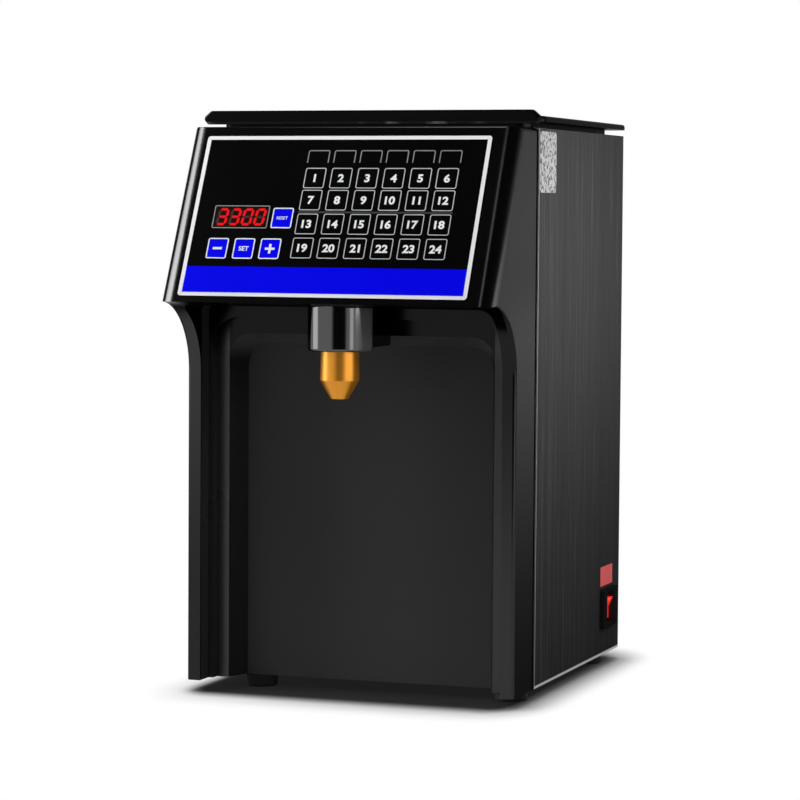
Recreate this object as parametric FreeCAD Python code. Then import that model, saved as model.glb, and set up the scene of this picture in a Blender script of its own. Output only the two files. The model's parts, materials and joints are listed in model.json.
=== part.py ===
import FreeCAD, Part
import math
import os
from FreeCAD import Matrix, Placement, Rotation, Vector

# Countertop fructose dispenser: a moulded front with an open cup bay, a folded sheet
# body behind it, a hanging syrup tank, a gear pump below the tank and a keypad in front.
# Millimetres.  X is the width, +Y points to the back, +Z is up.  The origin is the centre
# of the object's box on the floor.

# ---------------------------------------------------------------- driving dimensions
# Overall
body_width = 265.0          # across the moulded front and the sheet body
body_depth = 299.0          # from the legs' front faces to the back sheet
shell_top = 436.5           # top of the body, without the lid
foot_height = 9.0
head_overhang = 60.0        # how far the control head stands in front of the legs

# Moulded front
moulding_depth = 50.5       # from the legs' front faces to the back edge of the moulding
moulding_wall = 3.0
head_height = 132.5         # from the body's top down to the head's lower front edge
face_lean = 26.565          # degrees that the control face leans back from upright
arch_drop = 54.0            # the arch under the head springs this far below its front edge
head_edge_radius = 13.0
shoulder_radius = 5.0       # along the head's upper side edges
top_edge_radius = 2.5
leg_edge_radius = 3.0       # along the outer front edges of the legs and the arch
tongue_inset = 2.4          # step of the back edge that leaves the dark shadow groove
groove_width = 3.2
tongue_lap = 6.0

# Cup bay
leg_face = 11.0             # width of each leg's front face
mouth_lip = 3.0             # the bay's ceiling lies this far below the head's front edge
mouth_corner = 6.0
step_depth = 17.0           # from the legs' front faces to the first forward-facing step
step_side = 3.9             # width of the first step at the sides
step_corner = 20.0
bay_lip = 13.4              # the step's lower edge lies this far below the head's front edge
ledge_depth = 25.0
ledge_side = 9.7            # width of the second step, the ledge, at the sides
ledge_over = 12.3           # and over the top
inner_corner = 18.0
panel_depth = 46.0          # from the legs' front faces to the back panel
taper_side = 7.7
taper_over = 8.5
panel_thickness = 2.0
panel_lap = 8.0             # how far the back panel reaches behind its opening
seat_thickness = 2.0

# Sheet body
sheet = 1.2
hem_depth = 12.0
base_thickness = 2.0
deck_thickness = 1.5
deck_flange = 10.0
fit_gap = 0.3               # loose fit between separate pieces
joint_lap = 0.2             # solids of one piece run into each other by this
face_gap = 0.2              # assembly gap between sheet pieces
vent_count = 9
vent_length = 46.0
vent_width = 3.0
vent_pitch = 8.0
vent_centre_x = 62.0
vent_low = 239.0            # above the base plate
case_screw_inset = 20.0     # from the body's sides
case_screw_rise = 14.0      # above the base plate
flange_thickness = 1.5
flange_height = 22.0        # upright flange of the base plate
flange_inset = 30.0
flange_tab_width = 24.0

# Feet
foot_diameter = 25.0
foot_inset_left = 42.0      # the feet's pattern stands off the middle plane
foot_inset_right = 17.5
foot_setback = 6.0          # front feet behind the bay's back panel
foot_back_inset = 37.0
foot_screw_diameter = 4.0
foot_recess = 3.0
foot_edge_radius = 1.5

# Lid
lid_overhang = 5.0          # past the body at each side
lid_front = 48.0            # back of the lip, from the legs' front faces
lid_back_lap = 16.5         # rim behind the skirt
lid_rise = 4.5              # underside of the rim above the body
lid_thickness = 4.5
lip_depth = 8.0
lip_drop = 1.5              # lip below the rim's underside
lip_rise = 4.5              # lip above the rim's top
lip_taper = 7.0
lip_foot_taper = 4.0
skirt_inset = 9.0
skirt_wall = 3.0
skirt_gap = 16.0            # behind the tank's rim and gasket
lid_panel_depth = 1.0
lid_panel_border = 22.0
lid_corner = 10.0
lid_edge_radius = 2.2
lip_edge_radius = 1.6
lip_nose_radius = 3.0       # at the lip's two ends
lip_shoulder = 1.0          # the lip's widest line below its upper taper
skirt_setback = 2.0         # behind the lip
gasket_thickness = 1.5
gasket_width = 8.0

# Syrup tank
tank_width = 200.0
tank_length = 186.0
tank_depth = 261.5          # below the body's top
tank_space = 18.0           # between the bay's back panel and the tank
tank_wall = 1.2
tank_corner = 25.0
tank_foot_radius = 12.0
rim_width = 4.0
rim_height = 2.7
gasket_lap = 1.0            # gasket past the rim's outer edge
deck_clearance = 1.0

# Plumbing
hose_diameter = 12.0
hose_bore = 8.0
spigot_clearance = 0.05
spigot_length = 14.0
nut_across = 26.0
nut_height = 5.0
stem_diameter = 16.0
stem_clearance = 0.1
outlet_flange_diameter = 28.0
outlet_flange_height = 4.0
outlet_body = 12.0
bore_diameter = 5.0
hose_loop = 38.0            # delivery hose's level run above the nozzle boss
lane_gap = 2.0              # between the bay's back panel and the delivery hose
clip_heights = (109.0, 219.0)
clip_width = 8.0
clip_wall = 2.0
clip_foot = 8.0             # beyond the ring at each side
clip_foot_thickness = 1.6
bend_share = 0.45           # part of the shorter run that each bend takes up

# Nozzle
nozzle_setback = -20.0      # nozzle axis from the legs' front faces, in front of them
holder_diameter = 49.0
holder_drop = 33.0          # below the bay's ceiling
holder_edge = 2.0
arm_rise = 3.0              # underside of the arm above the holder's lower face
boss_height = 6.0           # above the bay's ceiling
boss_diameter = 38.0
nozzle_diameter = 29.6
nozzle_barrel = 22.0        # below the holder
nozzle_cone = 14.0
nozzle_tip_diameter = 13.6
nozzle_flare = 0.5          # the barrel is that much slimmer at its top
nozzle_stem_diameter = 18.0
nozzle_stem_length = 16.0

# Gear pump
pump_x = -50.0
pump_height = 51.0          # pump's middle above the base plate
pump_front = 108.0
gear_teeth = 12
gear_module = 2.0
gear_width = 12.0
tooth_share = 0.42          # tooth width as a share of the tooth pitch
tip_share = 0.45            # width at the tip as a share of the width at the middle
root_share = 1.35           # and at the root
root_depth = 1.25           # below the pitch circle, in modules
tip_clearance = 0.3
side_clearance = 0.2
pump_wall = 6.0
pump_corner = 5.0
cover_thickness = 4.0
shaft_diameter = 6.0
running_clearance = 0.05
shaft_into_motor = 15.0
motor_diameter = 42.0
motor_length = 74.0
gearbox_length = 22.0
gearbox_step = 1.5
motor_cap_length = 4.0
bracket_thickness = 3.0
bracket_foot = 26.0
bracket_margin = 4.0
port_offset = 6.0

# Electrics
supply_width = 92.0
supply_length = 100.0
supply_height = 38.0
supply_inset = 40.5         # from the body's right side
supply_front = 155.0
supply_slot_count = 8
supply_slot_start = 12.0
supply_slot_pitch = 9.0
supply_slot_width = 3.0
supply_slot_depth = 2.0
supply_slot_margin = 15.0
inlet_inset = 62.5          # inlet's middle from the body's right side
inlet_height = 41.0         # inlet's middle above the base plate
inlet_flange_width = 50.0
inlet_flange_height = 27.0
inlet_flange = 3.0
inlet_body_width = 27.4
inlet_body_height = 20.0
inlet_body_depth = 22.0
inlet_socket_width = 24.0
inlet_socket_height = 16.4
inlet_socket_depth = 15.0
inlet_pin_spacing = 7.0
inlet_pin_thickness = 2.0
inlet_pin_height = 4.0
inlet_pin_short = 2.0       # the pins end this far inside the socket's mouth
inlet_earth_rise = 2.0
inlet_line_drop = 1.5
inlet_corner = 4.0
switch_centre = 260.7       # from the legs' front faces
switch_height = 36.75       # switch's middle above the base plate
switch_frame_length = 41.5
switch_frame_height = 32.5
switch_frame_proud = 3.7
switch_body_length = 34.0
switch_body_height = 29.0
switch_body_depth = 22.0
switch_corner = 2.0
terminal_length = 8.0
terminal_width = 6.0
terminal_thickness = 0.8
terminal_pitch = 9.0
terminal_offset = 8.0       # each row from the switch's middle plane
rocker_width = 19.0
rocker_half = 9.0
rocker_tilt = 12.0          # degrees each way from level
rocker_pivot_inset = 5.1
rocker_mid = 4.5
rocker_window_gap = 0.5
rocker_end_gap = 6.4
rocker_heel = 2.0           # flat end of each arm
rocker_keel_depth = 5.0
rocker_keel_half = 4.0
trunnion_diameter = 3.0
trunnion_length = 2.0
loom_diameter = 8.0
loom_gap = 1.3              # behind the folded front edge of the sheet body
loom_rise = 76.0            # where the loom meets the board, above the head's front edge
loom_board_x = 60.0
loom_supply_height = 27.0
loom_supply_setback = 12.0

# Control panel, measured in the leaning face: across X and up the slope from the
# head's lower front edge
overlay_margin_left = 15.9  # from the body's sides
overlay_margin_right = 20.7
overlay_low = 5.0
overlay_height = 135.0
overlay_corner = 3.0
overlay_thickness = 1.2
overlay_recess = 0.8
key_width = 16.6
key_height = 17.2
key_corner = 2.0
key_thickness = 1.1
key_proud = 0.3             # above the overlay
key_travel = 0.3
key_stem_diameter = 4.0
number_columns = 6
number_start = -29.4        # first column's printed outline, from the overlay's middle
number_pitch = 20.96
number_outline = 17.3       # printed outline round each key
number_rows = (104.0, 85.5, 65.5, 45.5)
blue_keys = {"key_minus": (-88.8, 44.6), "key_set": (-67.5, 44.6),
             "key_plus": (-46.4, 44.6), "key_reset": (-41.0, 70.3)}
display_start = -97.6       # from the overlay's middle
display_width = 45.3
display_low = 61.3
display_height = 19.7
display_wall = 2.0
display_corner = 1.5
board_distance = 8.0        # board's front behind the recessed face
board_thickness = 1.6
board_margin = 6.0
switch_block = 6.0
chip_left = -40.0
chip_rise = 22.0            # above the board's lower edge
chip_side = 30.0
chip_height = 3.0
stem_rest_gap = 0.2         # beyond the key's travel
post_diameter = 7.0
screw_head_diameter = 6.0
screw_head_height = 2.2
screw_diameter = 3.0
screw_length = 9.0

# ---------------------------------------------------------------- worked-out places
half_width = body_width / 2
head_bottom = shell_top - head_height
arch_spring = head_bottom - arch_drop
mouth_top = head_bottom - mouth_lip
bay_top = head_bottom - bay_lip
holder_bottom = mouth_top - holder_drop
nozzle_shoulder = holder_bottom - nozzle_barrel
nozzle_tip = nozzle_shoulder - nozzle_cone
boss_top = mouth_top + boss_height
hose_level = boss_top + hose_loop
tank_bottom = shell_top - tank_depth
overlay_left = overlay_margin_left - half_width
overlay_right = half_width - overlay_margin_right
overlay_high = overlay_low + overlay_height
overlay_mid = (overlay_left + overlay_right) / 2
display_left = overlay_mid + display_start
display_right = display_left + display_width
display_high = display_low + display_height
overall_depth = head_overhang + body_depth + inlet_flange
front_y = head_overhang - overall_depth / 2
back_y = front_y + body_depth
moulding_back = front_y + moulding_depth
sheet_front = moulding_back + groove_width
step_y = front_y + step_depth
ledge_y = front_y + ledge_depth
panel_y = front_y + panel_depth
panel_back = panel_y + panel_thickness
bay_half = half_width - leg_face
step_half = bay_half - step_side
ledge_half = step_half - ledge_side
ledge_top = bay_top - ledge_over
opening_half = ledge_half - taper_side
opening_top = ledge_top - taper_over
base_top = foot_height + base_thickness
deck_bottom = shell_top - deck_thickness
rim_top = shell_top + rim_height
face_foot_y = front_y - head_overhang
lean = math.radians(face_lean)
nozzle_y = front_y + nozzle_setback
tank_y = panel_back + tank_space
tank_half = tank_width / 2
hose_lane_y = panel_back + lane_gap + hose_diameter / 2
loom_lane_y = sheet_front + sheet + loom_gap + loom_diameter / 2
loom_x = (half_width - sheet + tank_half + rim_width) / 2
pump_level = base_top + pump_height
supply_x = half_width - supply_inset - supply_width
inlet_x = half_width - inlet_inset
inlet_level = base_top + inlet_height
switch_level = base_top + switch_height
gasket_out = rim_width + gasket_lap
skirt_back_y = tank_y + tank_length + gasket_out + skirt_gap + skirt_wall
lid_front_y = front_y + lid_front
lid_back_y = skirt_back_y + lid_back_lap
lid_underside = shell_top + lid_rise
lid_half = half_width + lid_overhang
far = 600.0                 # reaches past the whole object
UP = Vector(0, 0, 1)
BACK = Vector(0, 1, 0)
RIGHT = Vector(1, 0, 0)


# ---------------------------------------------------------------- shape helpers
def box(x0, x1, y0, y1, z0, z1):
    return Part.makeBox(x1 - x0, y1 - y0, z1 - z0, Vector(x0, y0, z0))


def rod(radius, start, direction, length):
    return Part.makeCylinder(radius, length, start, direction)


def tube(outer, bore, start, direction, length):
    return rod(outer, start, direction, length).cut(rod(bore, start, direction, length))


def side_prism(points, x0, x1):
    """A prism along X over (y, z) points."""
    corners = [Vector(x0, y, z) for y, z in points]
    face = Part.Face(Part.makePolygon(corners + corners[:1]))
    return face.extrude(Vector(x1 - x0, 0, 0))


def rounded_rectangle(x0, x1, y0, y1, z, radius):
    """A closed wire in a level plane."""
    r = max(0.01, min(radius, (x1 - x0) / 2 - 0.01, (y1 - y0) / 2 - 0.01))
    edges = []
    corners = [(x1 - r, y0 + r, -90), (x1 - r, y1 - r, 0), (x0 + r, y1 - r, 90), (x0 + r, y0 + r, 180)]
    ends = []
    for cx, cy, turn in corners:
        points = []
        for step in (0, 45, 90):
            angle = math.radians(turn + step)
            points.append(Vector(cx + r * math.cos(angle), cy + r * math.sin(angle), z))
        edges.append(Part.Arc(*points).toShape())
        ends.append((points[0], points[-1]))
    for index in range(4):
        edges.append(Part.makeLine(ends[index][1], ends[(index + 1) % 4][0]))
    return Part.Wire(Part.__sortEdges__(edges))


def rounded_slab(x0, x1, y0, y1, z0, z1, radius):
    wire = rounded_rectangle(x0, x1, y0, y1, z0, radius)
    return Part.Face(wire).extrude(Vector(0, 0, z1 - z0))


def arch_wire(half, top, radius, bottom, y):
    """Upright outline with two rounded upper corners, in the plane Y = y."""
    r = min(radius, half - 1.0)
    bend = r * (1 - math.sqrt(0.5))
    points = [Vector(-half, y, bottom), Vector(-half, y, top - r), Vector(-half + bend, y, top - bend),
              Vector(-half + r, y, top), Vector(half - r, y, top), Vector(half - bend, y, top - bend),
              Vector(half, y, top - r), Vector(half, y, bottom)]
    edges = [Part.makeLine(points[0], points[1]), Part.Arc(points[1], points[2], points[3]).toShape(),
             Part.makeLine(points[3], points[4]), Part.Arc(points[4], points[5], points[6]).toShape(),
             Part.makeLine(points[6], points[7]), Part.makeLine(points[7], points[0])]
    return Part.Wire(edges)


def arch_block(half, top, radius, bottom, y0, y1):
    return Part.Face(arch_wire(half, top, radius, bottom, y0)).extrude(Vector(0, y1 - y0, 0))


def scaled_cylinder(centre_y, centre_z, reach_y, reach_z):
    """An elliptic cylinder along X."""
    reach_x = half_width + 5
    round_bar = Part.makeCylinder(1.0, 2 * reach_x, Vector(-reach_x, 0, 0), RIGHT)
    stretch = Matrix()
    stretch.scale(1.0, reach_y, reach_z)
    bar = round_bar.transformGeometry(stretch)
    bar.translate(Vector(0, centre_y, centre_z))
    return bar


def prism_edges(shape, test):
    return [edge for edge in shape.Edges if test(edge)]


def soften(shape, radius, test):
    edges = prism_edges(shape, test)
    return shape.makeFillet(radius, edges)


def edge_ends(edge):
    return edge.Vertexes[0].Point, edge.Vertexes[-1].Point


def is_along(edge, direction):
    if not isinstance(edge.Curve, (Part.Line, Part.LineSegment)):
        return False
    start, end = edge_ends(edge)
    run = end - start
    return run.Length > 1 and abs(run.normalize().dot(direction)) > 0.999


def on_face(shape):
    """Place a shape drawn flat (X across, Y up the slope, Z outwards) on the control face."""
    placed = shape.copy()
    placed.Placement = Placement(Vector(0, face_foot_y, head_bottom), Rotation(RIGHT, 90 - face_lean))
    return placed


def save(name, shape):
    shape.exportStep("parts/" + name + ".step")


def save_group(name, shapes):
    Part.makeCompound(shapes).exportStep("parts/" + name + ".step")


# ---------------------------------------------------------------- moulded front
def face_y(z):
    return face_foot_y + (z - head_bottom) * math.tan(lean)


def under_head(gap):
    """The free space below the head: the quarter-ellipse arch and the space before the legs."""
    arch = scaled_cylinder(face_foot_y, arch_spring, head_overhang + gap, head_bottom - arch_spring + gap)
    front = box(-far, far, face_foot_y - far, front_y + gap, -far, arch_spring)
    return arch.fuse(front)


def bay_space(gap):
    """The cup bay, larger by gap: a straight mouth, two steps and a tapering inner part."""
    floor = -1.0
    start = face_foot_y - 1
    mouth = arch_block(bay_half + gap, mouth_top + gap, mouth_corner + gap, floor, start, step_y + gap)
    step = arch_block(step_half + gap, bay_top + gap, step_corner + gap, floor, front_y, ledge_y + gap)
    near = arch_wire(ledge_half + gap, ledge_top + gap, inner_corner + gap, floor, ledge_y)
    deep = arch_wire(opening_half + gap, opening_top + gap, inner_corner + gap, floor, panel_y)
    return mouth.fuse([step, Part.makeLoft([near, deep], True, True)])


def rounded_bar(inset, radius):
    """A long bar lying along the slope, with its two front edges rounded."""
    bar = box(-half_width + inset, half_width - inset, -far, far, -far, -inset)
    bar = soften(bar, radius, lambda e: is_along(e, BACK) and abs(e.CenterOfMass.z + inset) < 0.01)
    return on_face(bar)


def shoulder_bar(inset):
    """A long level bar along Y, with its two upper edges rounded."""
    top = shell_top - inset
    bar = box(-half_width + inset, half_width - inset, -far, far, -far, top)
    return soften(bar, shoulder_radius - inset, lambda e: is_along(e, BACK) and e.CenterOfMass.z > top - 0.01)


def head_block():
    top_y = face_y(shell_top)
    outline = [(face_foot_y, head_bottom), (top_y, shell_top), (moulding_back, shell_top),
               (moulding_back, foot_height), (face_foot_y, foot_height)]
    block = side_prism(outline, -half_width, half_width).cut(under_head(0))

    def leg_edge(edge):
        start, end = edge_ends(edge)
        side = abs(start.x - end.x) < 0.01
        return side and min(start.z, end.z) < head_bottom - 1 and max(start.y, end.y) < front_y + 0.01

    def upper_edge(edge):
        start, end = edge_ends(edge)
        level = min(start.z, end.z) > shell_top - 0.01
        return level and max(start.y, end.y) < moulding_back - 1
    block = soften(block, leg_edge_radius, leg_edge)
    block = soften(block, top_edge_radius, upper_edge)
    return block.common(rounded_bar(0, head_edge_radius)).common(shoulder_bar(0))


def hollow_of_head():
    wall = moulding_wall
    inner_top = shell_top - wall
    outline = [(face_foot_y, foot_height + wall), (face_foot_y, inner_top),
               (moulding_back + 1, inner_top), (moulding_back + 1, foot_height + wall)]
    hollow = side_prism(outline, -half_width + wall, half_width - wall)
    hollow = hollow.common(rounded_bar(wall, head_edge_radius - wall))
    return hollow.cut(under_head(wall)).cut(bay_space(wall))


def tongue():
    """The inset back edge that butts against the sheet body and leaves a shadow groove."""
    outer = half_width - tongue_inset
    inner = outer - moulding_wall
    y0 = moulding_back - tongue_lap
    top = shell_top - tongue_inset
    frame = box(-outer, outer, y0, sheet_front, foot_height, top).common(shoulder_bar(tongue_inset))
    return frame.cut(box(-inner, inner, y0 - 1, sheet_front + 1, foot_height - 1, top - moulding_wall))


def panel_seat():
    """A rim round the bay's inner opening that the back panel is held against."""
    half = opening_half + panel_lap
    top = opening_top + panel_lap
    y0 = panel_y - seat_thickness
    rim = arch_block(half, top, inner_corner + panel_lap, foot_height, y0, panel_y)
    return rim.cut(bay_space(0))


def key_centres():
    centres = {}
    number = 1
    for row in number_rows:
        for column in range(number_columns):
            x = overlay_mid + number_start + number_outline / 2 + column * number_pitch
            centres["key_%02d" % number] = (x, row)
            number += 1
    for name, (x, u) in blue_keys.items():
        centres[name] = (overlay_mid + x, u)
    return centres


def board_posts():
    x0, x1, u0, u1 = board_outline()
    inset = post_diameter / 2 + 0.5
    return [(x, u) for x in (x0 + inset, x1 - inset) for u in (u0 + inset, u1 - inset)]


def board_outline():
    xs = [x for x, u in key_centres().values()] + [display_left, display_right]
    us = [u for x, u in key_centres().values()]
    side = key_width / 2 + board_margin
    return min(xs) - side, max(xs) + side, min(us) - key_height / 2, max(us) + key_height / 2 + board_margin


def front_housing():
    housing = head_block().cut(bay_space(0)).cut(hollow_of_head())
    inner = half_width - tongue_inset - moulding_wall
    base_room = box(-inner, inner, panel_y, moulding_back + 1, foot_height - 1, foot_height + moulding_wall)
    housing = housing.cut(base_room).fuse([tongue(), panel_seat()])
    y_boss = nozzle_y
    boss = rod(boss_diameter / 2, Vector(0, y_boss, arch_spring), UP, boss_top - arch_spring)
    boss = boss.cut(under_head(0)).cut(bay_space(0))
    housing = housing.fuse(boss)
    housing = housing.cut(rod(stem_diameter / 2 + stem_clearance, Vector(0, y_boss, mouth_top - 20), UP, 60))
    posts = []
    for x, u in board_posts():
        post = rod(post_diameter / 2, Vector(x, u, -overlay_recess - board_distance), UP, board_distance - 1)
        posts.append(on_face(post))
    housing = housing.fuse(posts)
    recess = rounded_slab(overlay_left - fit_gap, overlay_right + fit_gap, overlay_low - fit_gap,
                          overlay_high + fit_gap, -overlay_recess, 20, overlay_corner)
    holes = [on_face(recess)]
    for x, u in key_centres().values():
        holes.append(on_face(rod(key_stem_diameter / 2 + fit_gap, Vector(x, u, -6), UP, 12)))
    for x, u in board_posts():
        depth = screw_length - board_thickness + 0.5
        start = Vector(x, u, -overlay_recess - board_distance - 0.5)
        holes.append(on_face(rod(screw_diameter / 2 + stem_clearance, start, UP, depth)))
    window = rounded_slab(display_left + display_wall, display_right - display_wall,
                          display_low + display_wall, display_high - display_wall, -8, 4, 1.0)
    holes.append(on_face(window))
    return housing.cut(holes).removeSplitter()


def niche_panel():
    half = opening_half + panel_lap
    top = opening_top + panel_lap
    return arch_block(half, top, inner_corner + panel_lap, foot_height, panel_y, panel_back)


# ---------------------------------------------------------------- control panel
def keypad_overlay():
    z0 = -overlay_recess
    sheet_body = rounded_slab(overlay_left, overlay_right, overlay_low, overlay_high,
                              z0, z0 + overlay_thickness, overlay_corner - fit_gap)
    cuts = []
    half_x = key_width / 2 + fit_gap
    half_u = key_height / 2 + fit_gap
    for x, u in key_centres().values():
        cuts.append(rounded_slab(x - half_x, x + half_x, u - half_u, u + half_u, -5, 5, key_corner + fit_gap))
    cuts.append(rounded_slab(display_left, display_right, display_low, display_high, -5, 5, display_corner))
    return on_face(sheet_body.cut(cuts))


def key(centre):
    x, u = centre
    top = overlay_thickness - overlay_recess + key_proud
    bottom = top - key_thickness
    pad = rounded_slab(x - key_width / 2, x + key_width / 2, u - key_height / 2, u + key_height / 2,
                       bottom, top, key_corner)
    stem_end = -overlay_recess - board_distance + dome_height() + key_travel + stem_rest_gap
    stem = rod(key_stem_diameter / 2, Vector(x, u, stem_end), UP, bottom - stem_end + joint_lap)
    return on_face(pad.fuse(stem))


def dome_height():
    return board_distance - moulding_wall - key_stem_diameter / 4


def display_window():
    x0 = display_left + fit_gap
    x1 = display_right - fit_gap
    u0 = display_low + fit_gap
    u1 = display_high - fit_gap
    top = overlay_thickness - overlay_recess
    return on_face(rounded_slab(x0, x1, u0, u1, -overlay_recess, top, display_corner - fit_gap))


def digit_display():
    gap = display_wall + fit_gap
    low = -overlay_recess - board_distance
    return on_face(box(display_left + gap, display_right - gap, display_low + gap, display_high - gap,
                       low, -overlay_recess - fit_gap))


def control_board():
    x0, x1, u0, u1 = board_outline()
    front = -overlay_recess - board_distance
    board = box(x0, x1, u0, u1, front - board_thickness, front)
    blocks = []
    for x, u in key_centres().values():
        half = switch_block / 2
        blocks.append(box(x - half, x + half, u - half, u + half, front - joint_lap, front + dome_height()))
    back = front - board_thickness
    chip = box(chip_left, chip_left + chip_side, u0 + chip_rise, u0 + chip_rise + chip_side,
               back - chip_height, back + joint_lap)
    board = board.fuse(blocks + [chip])
    for x, u in board_posts():
        start = Vector(x, u, front - board_thickness - 1)
        board = board.cut(rod(screw_diameter / 2 + stem_clearance, start, UP, board_thickness + 2))
    return on_face(board)


def pan_screw(position, inwards):
    """A pan-head screw: its head stands against inwards, its shank runs along it."""
    head = Part.makeSphere(screw_head_diameter / 2, Vector(0, 0, 0))
    head = head.common(rod(screw_head_diameter / 2, Vector(0, 0, -screw_head_height), UP, screw_head_height))
    shank = rod(screw_diameter / 2, Vector(0, 0, -joint_lap), UP, screw_length + joint_lap)
    screw = head.fuse(shank)
    screw.Placement = Placement(position, Rotation(UP, inwards))
    return screw


def screws():
    made = []
    slope_out = Vector(0, -math.cos(lean), math.sin(lean))
    behind = -overlay_recess - board_distance - board_thickness
    for x, u in board_posts():
        spot = on_face(Part.Vertex(x, u, behind)).Point
        made.append(pan_screw(spot, slope_out))
    for x, z in case_screw_spots():
        made.append(pan_screw(Vector(x, back_y, z), BACK * -1))
    return made


def case_screw_spots():
    x = half_width - case_screw_inset
    levels = (base_top + case_screw_rise, deck_bottom - deck_flange / 2)
    return [(side * x, z) for side in (-1, 1) for z in levels]


# ---------------------------------------------------------------- nozzle
def nozzle_holder():
    r = holder_diameter / 2
    drum = rod(r, Vector(0, nozzle_y, holder_bottom), UP, head_bottom - holder_bottom)
    rim = [e for e in drum.Edges if abs(e.CenterOfMass.z - holder_bottom) < 0.01 and e.Length > r]
    drum = drum.makeFillet(holder_edge, rim)
    arm = box(-r, r, nozzle_y, ledge_y - fit_gap, holder_bottom + arm_rise, head_bottom)
    free = under_head(-face_gap).fuse(bay_space(-face_gap))
    holder = drum.fuse(arm).common(free)
    top = boss_top + nut_height + spigot_length / 2
    stem = rod(stem_diameter / 2, Vector(0, nozzle_y, holder_bottom + 10), UP, top - holder_bottom - 10)
    spigot = rod(hose_bore / 2 - spigot_clearance, Vector(0, nozzle_y, top - 1), UP, spigot_length + 1)
    holder = holder.fuse([stem, spigot])
    socket = rod(nozzle_stem_diameter / 2 + running_clearance, Vector(0, nozzle_y, holder_bottom - 1), UP,
                 nozzle_stem_length + 1.5)
    bore = rod(bore_diameter / 2, Vector(0, nozzle_y, holder_bottom), UP, far)
    return holder.cut([socket, bore])


def nozzle():
    r = nozzle_diameter / 2
    tip = nozzle_tip_diameter / 2
    stem = nozzle_stem_diameter / 2
    points = [(0, nozzle_tip), (tip, nozzle_tip), (r, nozzle_shoulder), (r - nozzle_flare, holder_bottom),
              (stem, holder_bottom), (stem, holder_bottom + nozzle_stem_length),
              (0, holder_bottom + nozzle_stem_length)]
    corners = [Vector(radius, 0, z) for radius, z in points]
    body = Part.Face(Part.makePolygon(corners + corners[:1])).revolve(Vector(0, 0, 0), UP, 360)
    body.translate(Vector(0, nozzle_y, 0))
    return body.cut(rod(bore_diameter / 2, Vector(0, nozzle_y, nozzle_tip - 1), UP, far))


def hex_nut(x, y, z):
    radius = nut_across / 2 / math.cos(math.pi / 6)
    corners = []
    for index in range(6):
        angle = index * math.pi / 3
        corners.append(Vector(x + radius * math.cos(angle), y + radius * math.sin(angle), z))
    body = Part.Face(Part.makePolygon(corners + corners[:1])).extrude(Vector(0, 0, nut_height))
    return body.cut(rod(stem_diameter / 2 + running_clearance, Vector(x, y, z - 1), UP, nut_height + 2))


def fitting_nuts():
    outlet = hex_nut(pump_x, port_y, tank_bottom + tank_wall)
    return [hex_nut(0, nozzle_y, boss_top), outlet]


# ---------------------------------------------------------------- sheet body
def body_wrap():
    outer = box(-half_width, half_width, sheet_front, back_y, base_top, shell_top)
    inner = box(-half_width + sheet, half_width - sheet, sheet_front - 1, back_y - sheet, base_top - 1, far)
    wrap = outer.cut(inner)
    for side in (-1, 1):
        x0, x1 = sorted((side * (half_width - sheet / 2), side * (half_width - hem_depth)))
        hem_top = deck_bottom - deck_flange - 2
        wrap = wrap.fuse(box(x0, x1, sheet_front, sheet_front + sheet, base_top, hem_top))
    cuts = [switch_opening(face_gap), inlet_opening(face_gap)]
    for side in (-1, 1):
        for index in range(vent_count):
            z = base_top + vent_low + index * vent_pitch
            x = side * vent_centre_x
            half = vent_length / 2
            slot = Part.Face(upright_slot(x, z, half)).extrude(Vector(0, 10, 0))
            slot.translate(Vector(0, back_y - 5, 0))
            cuts.append(slot)
    for x, z in case_screw_spots():
        cuts.append(rod(screw_diameter / 2 + stem_clearance, Vector(x, back_y - 5, z), BACK, 10))
    return wrap.cut(cuts).removeSplitter()


def upright_slot(x, z, half):
    """A slot with round ends in the plane Y = 0."""
    r = vent_width / 2
    a = half - r
    points = [Vector(x - a, 0, z - r), Vector(x + a, 0, z - r), Vector(x + half, 0, z),
              Vector(x + a, 0, z + r), Vector(x - a, 0, z + r), Vector(x - half, 0, z)]
    return Part.Wire([Part.makeLine(points[0], points[1]),
                      Part.Arc(points[1], points[2], points[3]).toShape(),
                      Part.makeLine(points[3], points[4]),
                      Part.Arc(points[4], points[5], points[0]).toShape()])


def base_plate():
    plate = box(-half_width, half_width, sheet_front, back_y, foot_height, base_top)
    inner = half_width - tongue_inset - moulding_wall - fit_gap
    plate = plate.fuse(box(-inner, inner, panel_back, sheet_front + 1, foot_height, base_top))
    flange_back = back_y - sheet - face_gap
    flange_front = flange_back - flange_thickness
    flange_top = base_top + flange_height
    flange_half = half_width - flange_inset
    flange = box(-flange_half, flange_half, flange_front, flange_back, base_top - 1, flange_top)
    tabs = []
    for side in (-1, 1):
        x = side * (half_width - case_screw_inset)
        tabs.append(box(x - flange_tab_width / 2, x + flange_tab_width / 2, flange_front, flange_back,
                        base_top - 1, flange_top))
    inlet_gap = inlet_opening(fit_gap)
    plate = plate.fuse([flange] + tabs).cut(inlet_gap)
    holes = []
    for x, y in foot_spots():
        holes.append(rod(foot_screw_diameter / 2 + stem_clearance, Vector(x, y, foot_height - 1), UP, 6))
    for x, z in case_screw_spots():
        holes.append(rod(screw_diameter / 2 + stem_clearance, Vector(x, back_y - 8, z), BACK, 10))
    return plate.cut(holes).removeSplitter()


def tank_hole(gap):
    return rounded_slab(-tank_half - gap, tank_half + gap, tank_y - gap, tank_y + tank_length + gap,
                        tank_bottom - 50, far, tank_corner + gap)


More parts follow.
